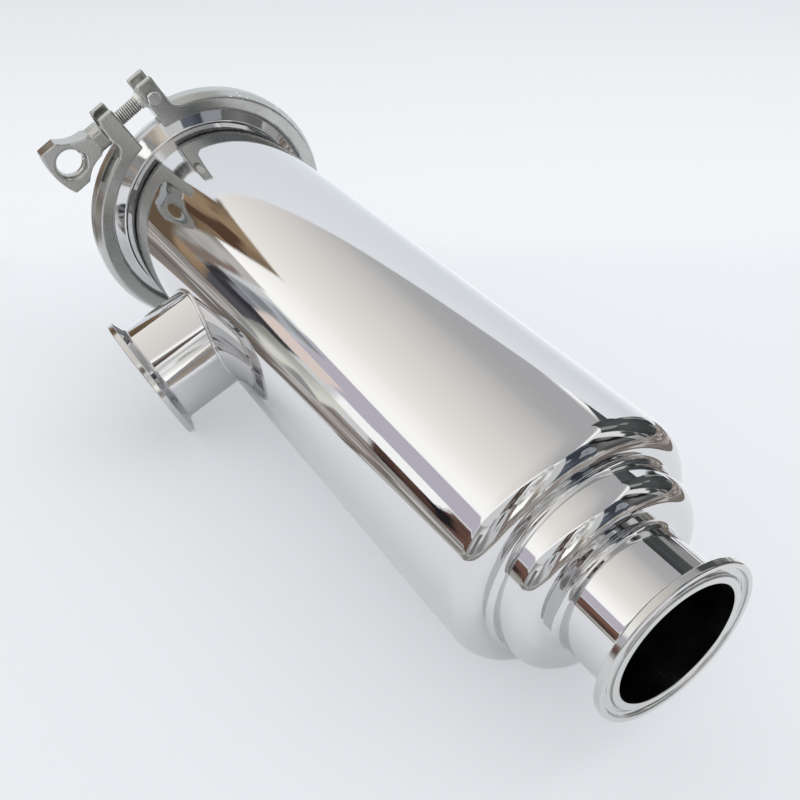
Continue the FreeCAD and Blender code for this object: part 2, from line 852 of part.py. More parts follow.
def make_mesh():
    """The wire mesh sleeve and the two bands that hold its ends."""
    corners = [
        (-socket_end, mesh_bore),
        (-socket_end, mesh_radius),
        (-screen_end, mesh_radius),
        (-screen_end, mesh_bore),
    ]
    turned("mesh_sleeve", corners).Placement = rest
    band_bore = mesh_radius + size("seal_slack")
    band_radius = band_bore + size("band_thickness")
    width = size("band_width")
    for name, start in (("outlet_band", socket_end), ("cap_band", screen_end - width)):
        end = start + width
        corners = [(-start, band_bore), (-start, band_radius), (-end, band_radius), (-end, band_bore)]
        turned(name, corners).Placement = rest


def make_end_plate():
    """The plate that closes the screen's cap end, with a spigot inside the tube."""
    spigot_front = screen_end - size("end_plate_spigot")
    back = screen_end + size("end_plate_thickness")
    spigot = screen_bore - size("screen_slack")
    rim = screen_radius + size("end_plate_lip")
    corners = [
        (-spigot_front, 0),
        (-spigot_front, spigot),
        (-screen_end, spigot),
        (-screen_end, rim),
        (-back, rim),
        (-back, 0),
    ]
    turned("end_plate", corners).Placement = rest


def make_handle():
    """The bow that the screen is drawn out by: two legs on the end plate and half a ring."""
    rod = size("handle_rod") / 2
    bow = doc.addObject("Part::Torus", "HandleBow")
    bow.setExpression("Radius1", bow_radius.text)
    bow.setExpression("Radius2", rod.text)
    bow.Angle3 = 180
    # The half ring lies in the strainer's XZ plane, its round side towards the cap
    bow.Placement = FreeCAD.Placement(
        FreeCAD.Vector(-bow_station.value, 0, 0),
        FreeCAD.Rotation(FreeCAD.Vector(0, 0, 1), FreeCAD.Vector(-1, 0, 0), FreeCAD.Vector(0, 1, 0), "XYZ"),
    )
    legs = []
    for side in (1, -1):
        leg = doc.addObject("Part::Cylinder", "HandleLeg")
        leg.setExpression("Radius", rod.text)
        leg.setExpression("Height", size("handle_leg").text)
        foot = FreeCAD.Vector(-bow_station.value, 0, side * bow_radius.value)
        leg.Placement = FreeCAD.Placement(foot, FreeCAD.Rotation(FreeCAD.Vector(0, 1, 0), 90))
        legs.append(leg)
    handle = doc.addObject("Part::MultiFuse", "pull_handle")
    handle.Label = "pull_handle"
    handle.Shapes = [bow] + legs
    handle.Placement = rest


def make_all():
    port = (port_rim, port_radius, port_bore, size("port_ferrule_length"))
    make_ferrule("outlet_ferrule", *port, rest)
    make_reducer()
    make_body_tube()
    make_branch_tube()
    make_ferrule("inlet_ferrule", *port, branch_frame)
    wide = (body_rim, body_radius, body_bore, size("body_ferrule_length"))
    make_ferrule("body_ferrule", *wide, body_ferrule_frame)
    make_cap()
    make_gasket()
    make_clamp_half("clamp_half_nut", 1)
    make_clamp_half("clamp_half_pivot", -1)
    hinge_frame = moved(clamp_frame, z=-hinge_radial.value)
    make_pin("hinge_pin", size("hinge_pin_outer"), size("hinge_head_outer"), hinge_frame)
    make_pin("swing_pin", size("swing_pin_outer"), size("swing_head_outer"), swing_pin_frame)
    make_swing_bolt()
    make_wing_nut()
    make_seat_ring()
    make_seal()
    make_screen_tube()
    make_mesh()
    make_end_plate()
    make_handle()


def sub_parts():
    """The objects that are pieces of the strainer, not the steps that make them."""
    return [item for item in doc.Objects if item.TypeId in ("PartDesign::Body", "Part::MultiFuse")]


CUTS = ("PartDesign::Pocket", "PartDesign::Groove")


def check_all():
    for item in doc.Objects:
        if "Invalid" in item.State or "Error" in item.State:
            raise RuntimeError(f"{item.Name} failed: {item.State}")
        if item.TypeId in CUTS and item.Shape.Volume > item.BaseFeature.Shape.Volume - 0.5:
            raise RuntimeError(f"{item.Name} of {item.getParentGeoFeatureGroup().Label} cuts nothing")
    for piece in sub_parts():
        if piece.Shape.isNull() or not piece.Shape.isValid():
            raise RuntimeError(f"{piece.Label} has no valid shape")


def write_all():
    os.makedirs("parts", exist_ok=True)
    for piece in sub_parts():
        piece.Shape.exportStep(os.path.join("parts", piece.Label + ".step"))


make_all()
doc.recompute()
check_all()
write_all()
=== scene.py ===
# %% [markdown]
# # An angle pipeline strainer
# This lesson dresses the CAD model of a sanitary strainer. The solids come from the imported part
# and stay where they are. Every cell makes one piece or one finish, and says what the real one is.

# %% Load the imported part
import json
import math

import bpy
import numpy as np
from mathutils import Matrix, Vector


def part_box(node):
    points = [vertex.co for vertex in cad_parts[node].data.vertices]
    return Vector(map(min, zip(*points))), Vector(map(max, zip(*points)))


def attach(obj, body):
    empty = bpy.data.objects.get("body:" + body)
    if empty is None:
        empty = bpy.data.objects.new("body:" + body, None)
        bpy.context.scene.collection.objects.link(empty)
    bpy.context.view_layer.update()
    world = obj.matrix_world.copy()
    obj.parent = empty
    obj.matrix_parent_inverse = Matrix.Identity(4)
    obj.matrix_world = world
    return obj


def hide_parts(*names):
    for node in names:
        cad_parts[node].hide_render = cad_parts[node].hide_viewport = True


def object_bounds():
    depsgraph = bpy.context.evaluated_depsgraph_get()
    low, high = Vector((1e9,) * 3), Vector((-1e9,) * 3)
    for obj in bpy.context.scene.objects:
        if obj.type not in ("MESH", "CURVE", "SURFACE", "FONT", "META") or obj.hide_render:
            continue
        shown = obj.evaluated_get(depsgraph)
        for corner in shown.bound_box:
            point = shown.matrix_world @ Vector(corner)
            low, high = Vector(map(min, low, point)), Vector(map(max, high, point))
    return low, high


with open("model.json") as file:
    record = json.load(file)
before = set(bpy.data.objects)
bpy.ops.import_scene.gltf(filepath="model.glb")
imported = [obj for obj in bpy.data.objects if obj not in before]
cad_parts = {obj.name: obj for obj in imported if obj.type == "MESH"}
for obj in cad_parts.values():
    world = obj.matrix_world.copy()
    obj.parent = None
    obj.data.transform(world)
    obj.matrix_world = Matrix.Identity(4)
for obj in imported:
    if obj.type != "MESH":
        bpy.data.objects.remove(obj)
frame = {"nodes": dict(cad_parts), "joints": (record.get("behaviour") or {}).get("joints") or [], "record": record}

cad_low, cad_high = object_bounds()
print("nodes", len(frame["nodes"]), "size", [round(v, 4) for v in cad_high - cad_low])

# %% [markdown]
# ## The strainer's own axes
# The part lies tilted on its clamp, its shoulder and the rim of its inlet. It is easier to draw it
# along its own axes: x out of the outlet, y away from the inlet, and z up between them. The record
# gives both ports' axes, and the two joints give the axes of the swing bolt.

# %% Axes of the strainer, of its inlet and of its bolt
def axes(origin, x_axis, y_axis):
    """A matrix from a piece's own axes, in millimetres, to the row frame, in metres."""
    x_axis = Vector(x_axis).normalized()
    z_axis = x_axis.cross(Vector(y_axis)).normalized()
    matrix = Matrix((x_axis, z_axis.cross(x_axis), z_axis)).transposed().to_4x4()
    matrix.translation = Vector(origin)
    return matrix @ Matrix.Diagonal((0.001, 0.001, 0.001, 1.0))


mounts = {mount["name"]: mount for mount in frame["record"]["mounts"]}
joints = {joint["name"]: joint for joint in frame["joints"]}
outward = Vector(mounts["outlet"]["axis"])
to_inlet = Vector(mounts["inlet"]["axis"])
strainer = axes(mounts["outlet"]["pos_m"], outward, -to_inlet)
branch_station, branch_reach = 260.5, 83.0
inlet = axes(strainer @ Vector((-branch_station, -branch_reach, 0)), to_inlet, outward)
shank_way = Vector(joints["wing_nut_turn"]["axis"])
swing_way = Vector(joints["bolt_swing"]["axis"])
bolt = axes(joints["bolt_swing"]["pos_m"], swing_way, shank_way.cross(swing_way))
print("outlet points", [round(v, 3) for v in outward])
print("inlet points", [round(v, 3) for v in to_inlet])

# %% [markdown]
# ## The camera
# The photograph looks down at the outlet's side from close by, so the far clamp looks small. The
# camera is set by the strainer's own axes, with a plain lens and no shift.

# %% Camera
def in_scene(name, data):
    """A new object that holds the data, linked to the scene."""
    made = bpy.data.objects.new(name, data)
    bpy.context.scene.collection.objects.link(made)
    return made


camera = in_scene("camera", bpy.data.cameras.new("camera"))
bpy.context.scene.camera = camera
camera.data.sensor_width = 36.0
camera.data.lens = 41.69
camera.data.clip_start, camera.data.clip_end = 0.01, 50.0
own_turn = strainer.to_3x3().normalized()
right = own_turn @ Vector((0.54078, 0.77995, -0.31502))
down = own_turn @ Vector((0.51775, -0.60379, -0.60611))
forward = own_turn @ Vector((-0.66294, 0.16468, -0.73034))
camera.matrix_world = Matrix((right, -down, -forward)).transposed().to_4x4()
camera.location = strainer @ Vector((103.156, -68.042, 279.959))
print("camera at", [round(v, 3) for v in camera.location])

# %% [markdown]
# ## Nodes of a finish
# A finish is a small tree of nodes. The helpers keep each tree short: they make a node and set its
# sockets, link nodes, start a material, and join the common steps, such as noise on a piece.

# %% Helpers for materials
def node(tree, kind, **settings):
    """A node with its own settings, and its sockets set by name or number."""
    made = tree.nodes.new(kind)
    for name, value in settings.items():
        if name == "sockets":
            for socket, number in value.items():
                made.inputs[socket].default_value = number
        else:
            setattr(made, name, value)
    return made


def link_all(tree, *links):
    """Each link is a node and its output, then the node that it feeds and the input there."""
    for start, output, end, into in links:
        tree.links.new(start.outputs[output], end.inputs[into])


def feed(end, into, source):
    """Links a socket to an input of a node."""
    end.id_data.links.new(source, end.inputs[into])


def new_finish(name, colour, metallic, roughness):
    """A material, its tree and its Principled shader."""
    material = bpy.data.materials.new(name)
    material.use_nodes = True
    shader = material.node_tree.nodes["Principled BSDF"]
    shader.inputs["Base Color"].default_value = (*colour, 1)
    shader.inputs["Metallic"].default_value = metallic
    shader.inputs["Roughness"].default_value = roughness
    material.diffuse_color = (*colour, 1)
    return material, material.node_tree, shader


def noise_on(tree, scale, stretch=(1, 1, 1), detail=3.0):
    """Noise on the piece's own coordinates, stretched along its axes."""
    place = node(tree, "ShaderNodeTexCoord")
    mapping = node(tree, "ShaderNodeMapping", sockets={"Scale": stretch})
    noise = node(tree, "ShaderNodeTexNoise", sockets={"Scale": scale, "Detail": detail})
    link_all(tree, (place, "Object", mapping, "Vector"), (mapping, "Vector", noise, "Vector"))
    return noise.outputs["Fac"]


def ranged(tree, source, low, high, start=0.3, end=0.7):
    """The source's middle range spread from low to high."""
    spread = node(tree, "ShaderNodeMapRange", sockets={
        "From Min": start, "From Max": end, "To Min": low, "To Max": high})
    feed(spread, "Value", source)
    return spread.outputs["Result"]


def rising(tree, source, start, end):
    """0 up to the start, 1 from the end on."""
    return ranged(tree, source, 0.0, 1.0, start, end)


def worked_out(tree, operation, first, second):
    """A Math node on a socket and another socket or number."""
    made = node(tree, "ShaderNodeMath", operation=operation)
    feed(made, 0, first)
    if isinstance(second, float):
        made.inputs[1].default_value = second
    else:
        feed(made, 1, second)
    return made.outputs[0]


def blended(tree, factor, first, second):
    """The first colour at 0 and the second at 1. A Mix node has its colours at inputs 6 and 7."""
    mix = node(tree, "ShaderNodeMix", data_type="RGBA")
    for number, colour in ((6, first), (7, second)):
        if isinstance(colour, tuple):
            mix.inputs[number].default_value = (*colour, 1)
        else:
            feed(mix, number, colour)
    feed(mix, 0, factor)
    return mix.outputs[2]


def bump_by(tree, shader, heights, strength, distance):
    """Bumps laid over each other, the last one next to the shader."""
    normal = None
    for height, share in heights:
        bump = node(tree, "ShaderNodeBump", sockets={
            "Strength": strength * share, "Distance": distance})
        feed(bump, "Height", height)
        if normal is not None:
            feed(bump, "Normal", normal)
        normal = bump.outputs["Normal"]
    feed(shader, "Normal", normal)


print("helpers for finishes ready")

# %% [markdown]
# ## Mirror-polished steel
# The housing is buffed until it mirrors the room. A perfect mirror looks false, so the roughness
# drifts a little where the buffing wheel pressed less, hair-fine marks run round the tube, and the
# sheet is a touch wavy from rolling.

# %% Mirror-polished steel
def mirror_finish(name, colour, roughness, marks):
    material, tree, shader = new_finish(name, colour, 1.0, roughness)
    smears = noise_on(tree, 38.0, detail=4.0)
    scuffs = noise_on(tree, 150.0, stretch=(1.0, 0.3, 0.3), detail=2.0)
    drift = ranged(tree, smears, roughness * 0.6, roughness * 1.5)
    sparse = ranged(tree, scuffs, 0.0, 0.22, 0.76, 0.80)
    feed(shader, "Roughness", worked_out(tree, "ADD", drift, sparse))
    hairlines = noise_on(tree, 900.0, stretch=(4.0, 0.35, 0.35), detail=2.0)
    waves = noise_on(tree, 9.0, detail=1.0)
    bump_by(tree, shader, [(waves, 1.0), (hairlines, marks)], 0.05, 0.004)
    return material


mirror_steel = mirror_finish("mirror_steel", (0.62, 0.62, 0.624), 0.04, 0.05)
print("mirror steel", len(mirror_steel.node_tree.nodes), "nodes")

# %% [markdown]
# ## Turned steel
# The gasket faces are left as the lathe made them: fine rings about the port's own axis. The rings
# are a wave on the distance from that axis, so the Mapping node first turns the piece's
# coordinates into the port's own.

# %% Turned steel
def turned_finish(name, place, colour, roughness, ring_pitch):
    """Steel with the lathe's rings about the x axis of one set of axes."""
    material, tree, shader = new_finish(name, colour, 1.0, roughness)
    to_own = place.inverted()
    coordinates = node(tree, "ShaderNodeTexCoord")
    centred = node(tree, "ShaderNodeMapping", vector_type="POINT", sockets={
        "Location": to_own.translation, "Rotation": to_own.to_euler("XYZ"),
        "Scale": to_own.to_scale()})
    rings = node(tree, "ShaderNodeTexWave", wave_type="RINGS", rings_direction="X", sockets={
        "Scale": 1.0 / ring_pitch, "Distortion": 0.4, "Detail": 2.0, "Detail Scale": 2.0})
    link_all(tree, (coordinates, "Object", centred, "Vector"), (centred, "Vector", rings, "Vector"))
    ring = rings.outputs["Fac"]
    feed(shader, "Roughness", ranged(tree, ring, roughness * 0.7, roughness * 1.3, 0.0, 1.0))
    feed(shader, "Base Color", blended(tree, ring, tuple(c * 0.82 for c in colour), colour))
    bump_by(tree, shader, [(ring, 1.0)], 0.12, 0.0002)
    return material


turned_look = ((0.62, 0.62, 0.61), 0.15, 2.6)
outlet_face_steel = turned_finish("outlet_face_steel", strainer, *turned_look)
inlet_face_steel = turned_finish("inlet_face_steel", inlet, *turned_look)
print("turned faces ready")

# %% [markdown]
# ## Steel inside, cast steel, machined steel and rubber
# Inside the tube nobody polishes, so the wall is dull, and its colour is painted dark as the shade
# inside a tube. The clamp and the wing nut are cast and tumbled: a satin grain with faint pits,
# painted shade in the hollows, and edges that the drum polishes and that get a painted highlight.
# Bolt and pins are machined and a little brighter, and the thread's root is painted dark as the
# shade between its teeth. The seals are pale silicone rubber.

# %% The other finishes
def satin_finish(name, colour, roughness, grain, depth):
    material, tree, shader = new_finish(name, colour, 1.0, roughness)
    tumbled = noise_on(tree, grain, detail=5.0)
    patches = noise_on(tree, grain * 0.06)
    feed(shader, "Roughness", ranged(tree, patches, roughness * 0.75, roughness * 1.25))
    bump_by(tree, shader, [(patches, 0.6), (tumbled, 1.0)], depth, 0.0004)
    return material


def edge_polish_highlight_hollow_shade(material, hollow, edge):
    """The drum polishes what stands out, and the edges also get a painted highlight; the hollows
    get painted shade. Pointiness is near 0.5 on a flat, less in a hollow and more on an edge."""
    hollows, edges, smoothed = (0.45, 0.497), (0.524, 0.605), (0.48, 0.58)
    tree = material.node_tree
    shader = tree.nodes["Principled BSDF"]
    shape = node(tree, "ShaderNodeNewGeometry").outputs["Pointiness"]
    flat = tuple(shader.inputs["Base Color"].default_value)[:3]
    # Painted shade in the hollows, then a painted highlight over the edges' real polish.
    low = blended(tree, rising(tree, shape, *hollows), hollow, flat)
    lit_and_shaded_colour = blended(tree, rising(tree, shape, *edges), low, edge)
    feed(shader, "Base Color", lit_and_shaded_colour)
    satin = shader.inputs["Roughness"].links[0].from_socket
    smoother = worked_out(tree, "MULTIPLY", satin, ranged(tree, shape, 1.3, 0.8, *smoothed))
    feed(shader, "Roughness", smoother)


# The inside's colour is painted dark: painted shade inside the tube, over a dull finish.
inside_steel_painted_shade = satin_finish("inside_steel_painted_shade", (0.13, 0.145, 0.14), 0.22, 1400.0, 0.08)
cast_steel = satin_finish("cast_steel", (0.47, 0.478, 0.46), 0.20, 1500.0, 0.10)
# The hollows get painted shade and the edges a painted highlight over their real polish.
edge_polish_highlight_hollow_shade(cast_steel, (0.08, 0.08, 0.075), (0.76, 0.76, 0.74))
machined_steel = satin_finish("machined_steel", (0.68, 0.68, 0.67), 0.20, 2200.0, 0.08)
# The thread's root is painted dark: painted shade between the teeth.
thread_root_painted_shade = satin_finish("thread_root_painted_shade", (0.125, 0.12, 0.115), 0.35, 2200.0, 0.08)
screen_steel = satin_finish("screen_steel", (0.60, 0.60, 0.60), 0.30, 1800.0, 0.10)
seal_rubber, tree, shader = new_finish("seal_rubber", (0.80, 0.80, 0.77), 0.0, 0.5)
rubber_grain = noise_on(tree, 1600.0, detail=4.0)
feed(shader, "Roughness", ranged(tree, rubber_grain, 0.42, 0.58))
bump_by(tree, shader, [(rubber_grain, 1.0)], 0.1, 0.0003)
print("finishes", [m.name for m in bpy.data.materials])

# %% [markdown]
# ## Turned pieces
# A mirror shows every facet, so the housing's pieces are drawn again with the CAD sizes. An
# outline of stations and radii, its corners rounded, is turned about the axis, and each corner of
# each face is given the exact normal. Then a long flat run stays straight in its reflections.

# %% Outline with rounded corners
def unit(vector):
    return vector / np.linalg.norm(vector)


def outline_with_normals(corners, step=math.radians(7)):
    """Each corner (station, radius, round, finish) as points with the outline's normal there."""
    points = np.array([corner[:2] for corner in corners], float)
    after = np.roll(points, -1, axis=0)
    area = np.sum(points[:, 0] * after[:, 1] - after[:, 0] * points[:, 1])
    side = 1.0 if area > 0 else -1.0
    made = []
    for number, corner in enumerate(corners):
        here, round_size, finish = points[number], corner[2], corner[3]
        back, ahead = unit(points[number - 1] - here), unit(after[number] - here)
        normals = [np.array((way[1], -way[0])) * side for way in (-back, ahead)]
        if round_size == 0:
            made += [(here, normals[0], finish), (here, normals[1], finish)]
            continue
        half = math.acos(np.clip(back @ ahead, -1, 1)) / 2
        centre = here + unit(back + ahead) * round_size / math.sin(half)
        inward = 1.0 if (here - centre) @ normals[0] > 0 else -1.0
        turn = math.pi - 2 * half
        for share in np.linspace(0, 1, max(3, math.ceil(turn / step)) + 1):
            swung = math.sin((1 - share) * turn) * normals[0] + math.sin(share * turn) * normals[1]
            normal = swung / math.sin(turn)
            made.append((centre + normal * inward * round_size, normal, finish))
    return made


square = [(0, 1, 0.1, 0), (1, 1, 0.1, 0), (1, 2, 0.1, 0), (0, 2, 0.1, 0)]
print("a square outline gives", len(outline_with_normals(square)), "points")

# %% [markdown]
# The outline's points become rings of vertices. A point on the axis is one vertex, so that a disc
# has a closed pole. The mesh is built in the piece's own millimetres and then placed by its axes.

# %% Turn an outline into a mesh
def add_face(shell, face, ways, slot):
    """Adds a face and its corners' normals, turned round where the face looks the wrong way."""
    vertices, faces, normals, slots = shell
    a, b, c = (np.array(vertices[k]) for k in face[:3])
    if np.cross(b - a, c - a) @ np.sum(ways, axis=0) < 0:
        face, ways = face[::-1], ways[::-1]
    faces.append(face)
    normals += ways
    slots.append(slot)


def mesh_from(name, shell, finishes, place):
    """A smooth mesh in the row frame, with a normal for each corner of each face."""
    vertices, faces, normals, slots = shell
    mesh = bpy.data.meshes.new(name)
    turn = place.to_3x3().normalized()
    mesh.from_pydata([place @ Vector(v) for v in vertices], [], faces)
    mesh.polygons.foreach_set("use_smooth", [True] * len(faces))
    mesh.polygons.foreach_set("material_index", slots)
    for finish in finishes:
        mesh.materials.append(finish)
    mesh.normals_split_custom_set([turn @ Vector(n) for n in normals])
    return in_scene(name, mesh)


def turned_piece(name, corners, finishes, place, around=192):
    """A closed outline turned about the x axis. An edge has the finish of the corner before it."""
    outline = outline_with_normals(corners)
    shell, rings = ([], [], [], []), []
    vertices = shell[0]
    angles = np.linspace(0, 2 * math.pi, around, endpoint=False)
    for number, (point, _, _) in enumerate(outline):
        if number and np.allclose(point, outline[number - 1][0], atol=1e-7):
            rings.append(rings[-1])
            continue
        first = len(vertices)
        if point[1] < 1e-6:
            vertices.append((point[0], 0, 0))
            rings.append([first] * around)
        else:
            vertices += [(point[0], point[1] * math.cos(a), point[1] * math.sin(a)) for a in angles]
            rings.append(list(range(first, first + around)))
    for number in range(len(outline)):
        following = (number + 1) % len(outline)
        if rings[number] == rings[following]:
            continue
        ends = ((rings[number], outline[number][1]), (rings[following], outline[following][1]))
        for i in range(around):
            j = (i + 1) % around
            face, ways = [], []
            for (ring, normal), k in ((ends[0], i), (ends[0], j), (ends[1], j), (ends[1], i)):
                if ring[k] not in face:
                    face.append(ring[k])
                    ways.append((normal[0], normal[1] * math.cos(angles[k]),
                                 normal[1] * math.sin(angles[k])))
            if len(face) >= 3:
                add_face(shell, face, ways, outline[number][2])
    return mesh_from(name, shell, finishes, place)


print("turning ready")

# %% [markdown]
# ## The ports' ferrules
# A ferrule is the flared end of a sanitary tube: a flat gasket face with a round-bottomed groove,
# a narrow rim, and a 20 degree bevel that a clamp pulls on. The face is turned, the rest is
# polished.

# %% Ferrules
rim_width, bevel = 2.85, math.tan(math.radians(20))
groove_inset, groove_half, groove_depth = 3.75, 1.6, 1.6
ferrule_length, joint_station, wall = 12.7, -351.5, 2.0
port_rim, port_tube, port_bore = 32.0, 25.5, 24.0
joint_rim, body_radius = 59.5, 50.8
body_bore = body_radius - wall


def gasket_groove(rim):
    """The round-bottomed groove in a gasket face, from its inner to its outer edge."""
    inner, outer = rim - groove_inset - groove_half, rim - groove_inset + groove_half
    return [(0, inner, 0.25, 1), (-groove_depth, inner, 1.2, 1),
            (-groove_depth, outer, 1.2, 1), (0, outer, 0.25, 1)]


def ferrule_outline(rim, tube, bore):
    return [
        (0, bore, 0.3, 1),
        *gasket_groove(rim),
        (0, rim, 0.6, 1),
        (-rim_width, rim, 0.6, 0),
        (-rim_width - (rim - tube) * bevel, tube, 1.5, 0),
        (-ferrule_length, tube, 0, 2),
        (-ferrule_length, bore, 0, 2),
    ]


body_joint = axes(strainer @ Vector((joint_station, 0, 0)), -outward, to_inlet)
port, joint = (port_rim, port_tube, port_bore), (joint_rim, body_radius, body_bore)
for replaced, sizes, face_steel, place in (
        ("outlet_ferrule", port, outlet_face_steel, strainer),
        ("inlet_ferrule", port, inlet_face_steel, inlet),
        ("body_ferrule", joint, outlet_face_steel, body_joint)):
    piece = turned_piece("turned_" + replaced, ferrule_outline(*sizes),
                         (mirror_steel, face_steel, inside_steel_painted_shade), place)
    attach(piece, "housing")
    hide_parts(replaced)
    print(piece.name, len(piece.data.polygons), "faces")

# %% [markdown]
# ## The stepped reducer
# One tube end is spun down in two stages, from 101.6 mm to 79 mm and to 51 mm. Each stage leaves a
# fat round at the shoulder and a tight valley before the next. Those rounds are what gives the
# strainer its look, because each one squeezes the whole room into a bright line.

# %% Reducer
small_step, small_radius, large_step, reducer_end = -27.2, 39.5, -43.1, -62.0
reducer = turned_piece("spun_reducer", [
    (-ferrule_length, port_bore, 0, 0),
    (-ferrule_length, port_tube, 0, 0),
    (small_step, port_tube, 2.2, 0),
    (small_step, small_radius, 8.0, 0),
    (large_step, small_radius, 2.2, 0),
    (large_step, body_radius, 8.8, 0),
    (reducer_end, body_radius, 0, 1),
    (reducer_end, body_bore, 0, 1),
    (large_step - wall, body_bore, 6.8, 1),
    (large_step - wall, small_radius - wall, 4.2, 1),
    (small_step - wall, small_radius - wall, 6.0, 1),
    (small_step - wall, port_bore, 3.7, 1),
], (mirror_steel, inside_steel_painted_shade), strainer)
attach(reducer, "housing")
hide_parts("stepped_reducer")
print("reducer", len(reducer.data.polygons), "faces")

# %% [markdown]
# ## The body tube and its hole
# The body is a plain tube with one round hole, which the inlet stands over. A boolean cut would
# leave ragged faces that a mirror shows, so the hole is woven into the wall: inside a square patch
# the grid's lines run from the hole's edge out to the square, and everywhere else they run
# straight.

# %% Body tube
def pierced_wall(radius, side, first, last, centre, hole, margin, columns=24, rings=8, around=192):
    """A cylinder wall about the x axis with a round hole towards -y. Its last value is the hole."""
    step = 2 * math.pi / around
    half = columns * step / 2
    rows = [centre - margin + 2 * margin * k / columns for k in range(columns + 1)]
    stations = [first] + rows + [last]
    keys, vertices, faces = {}, [], []

    def vertex(angle, station):
        key = (round(math.cos(angle), 6), round(math.sin(angle), 6), round(station, 5))
        if key not in keys:
            keys[key] = len(vertices)
            vertices.append((station, -radius * math.cos(angle), radius * math.sin(angle)))
        return keys[key]

    for i in range(around):
        low, high = -half + i * step, -half + (i + 1) * step
        for k in range(len(stations) - 1):
            if i < columns and 1 <= k <= columns:
                continue
            faces.append([vertex(low, stations[k]), vertex(high, stations[k]),
                          vertex(high, stations[k + 1]), vertex(low, stations[k + 1])])
    edge = [(-half + i * step, rows[0]) for i in range(columns)]
    edge += [(half, rows[k]) for k in range(columns)]
    edge += [(half - i * step, rows[-1]) for i in range(columns)]
    edge += [(-half, rows[columns - k]) for k in range(columns)]
    loops = []
    for ring in range(rings + 1):
        share = (ring / rings) ** 1.3
        loop = []
        for angle, station in edge:
            turn = math.atan2(radius * math.sin(angle), station - centre)
            inner_angle = math.asin(hole * math.sin(turn) / radius)
            inner_station = centre + hole * math.cos(turn)
            loop.append(vertex(inner_angle + (angle - inner_angle) * share,
                               inner_station + (station - inner_station) * share))
        loops.append(loop)
    for ring in range(rings):
        for k in range(len(edge)):
            j = (k + 1) % len(edge)
            faces.append([loops[ring][k], loops[ring][j], loops[ring + 1][j], loops[ring + 1][k]])
    normals = [(0, v[1] / radius * side, v[2] / radius * side) for v in vertices]
    return vertices, faces, normals, loops[0]


def body_tube_piece(first, last, margin):
    """Two pierced walls, one inside the other, joined round the hole."""
    shell, holes = ([], [], [], []), []
    vertices = shell[0]
    for radius, side, slot in ((body_radius, 1.0, 0), (body_bore, -1.0, 1)):
        wall_vertices, wall_faces, wall_normals, hole = pierced_wall(
            radius, side, first, last, -branch_station, port_bore, margin)
        offset = len(vertices)
        vertices += wall_vertices
        for face in wall_faces:
            add_face(shell, [k + offset for k in face], [wall_normals[k] for k in face], slot)
        holes.append([k + offset for k in hole])
    centre = np.array((-branch_station, 0, 0))
    for k in range(len(holes[0])):
        j = (k + 1) % len(holes[0])
        face = [holes[0][k], holes[0][j], holes[1][j], holes[1][k]]
        ways = [(centre - np.array(vertices[v])) * (1, 0, 1) / port_bore for v in face]
        add_face(shell, face, ways, 1)
    return mesh_from("pierced_body_tube", shell, (mirror_steel, inside_steel_painted_shade), strainer)


hole_margin = 36.0
body_tube = body_tube_piece(joint_station + ferrule_length, reducer_end, hole_margin)
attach(body_tube, "housing")
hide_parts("body_tube")
print("body tube", len(body_tube.data.polygons), "faces")

# %% [markdown]
# ## The inlet branch
# The branch's inner end is coped: it follows the body's round. So each line along the branch ends
# where the body is, which is further in above and below than on the sides towards the body's ends.

# %% Branch tube
def branch_piece(around=160):
    """The inlet tube in the strainer's own axes, its mouth towards -y."""
    angles = np.linspace(0, 2 * math.pi, around, endpoint=False)
    mouth = -(branch_reach - ferrule_length)
    rings = []
    for radius in (port_tube, port_bore):
        ring = [(-branch_station + radius * math.cos(a), radius * math.sin(a)) for a in angles]
        rings.append([(x, mouth, z) for x, z in ring])
        rings.append([(x, -math.sqrt(body_radius ** 2 - z ** 2), z) for x, z in ring])
    shell = (sum(rings, []), [], [], [])
    radial = [(math.cos(a), 0, math.sin(a)) for a in angles]
    inwards = [(-n[0], 0, -n[2]) for n in radial]
    bands = ((0, 1, radial, 0), (2, 3, inwards, 1),
             (0, 2, [(0, -1, 0)] * around, 1), (1, 3, [(0, 1, 0)] * around, 1))
    for low, high, ways, slot in bands:
        for i in range(around):
            j = (i + 1) % around
            face = [low * around + i, low * around + j, high * around + j, high * around + i]
            add_face(shell, face, [ways[k] for k in (i, j, j, i)], slot)
    return mesh_from("coped_branch_tube", shell, (mirror_steel, inside_steel_painted_shade), strainer)


branch = branch_piece()
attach(branch, "housing")
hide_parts("branch_tube")
print("branch", len(branch.data.polygons), "faces")

# %% [markdown]
# ## The weld round the inlet
# Branch and body meet in a thin dressed weld. It follows the curve in which two round tubes meet,
# so a Geometry Nodes tree sweeps a small round section along that path.

# %% A tree that sweeps a round section along a path
def new_tree(name, inputs):
    """A Geometry Nodes tree with named inputs, their identifiers, and its first and last node."""
    tree = bpy.data.node_groups.new(name, "GeometryNodeTree")
    tree.interface.new_socket("Geometry", in_out="INPUT", socket_type="NodeSocketGeometry")
    tree.interface.new_socket("Geometry", in_out="OUTPUT", socket_type="NodeSocketGeometry")
    identifiers = {}
    for label, kind in inputs.items():
        socket = tree.interface.new_socket(label, in_out="INPUT", socket_type="NodeSocket" + kind)
        identifiers[label] = socket.identifier
    return tree, identifiers, node(tree, "NodeGroupInput"), node(tree, "NodeGroupOutput")


def finish_tree(tree, geometry, start, end):
    """Realize Instances and Set Material come last."""
    real = node(tree, "GeometryNodeRealizeInstances")
    finish = node(tree, "GeometryNodeSetMaterial")
    shade = node(tree, "GeometryNodeSetShadeSmooth")
    feed(shade, "Geometry", geometry)
    link_all(tree, (shade, "Geometry", real, "Geometry"), (real, "Geometry", finish, "Geometry"),
             (start, "Finish", finish, "Material"), (finish, "Geometry", end, "Geometry"))


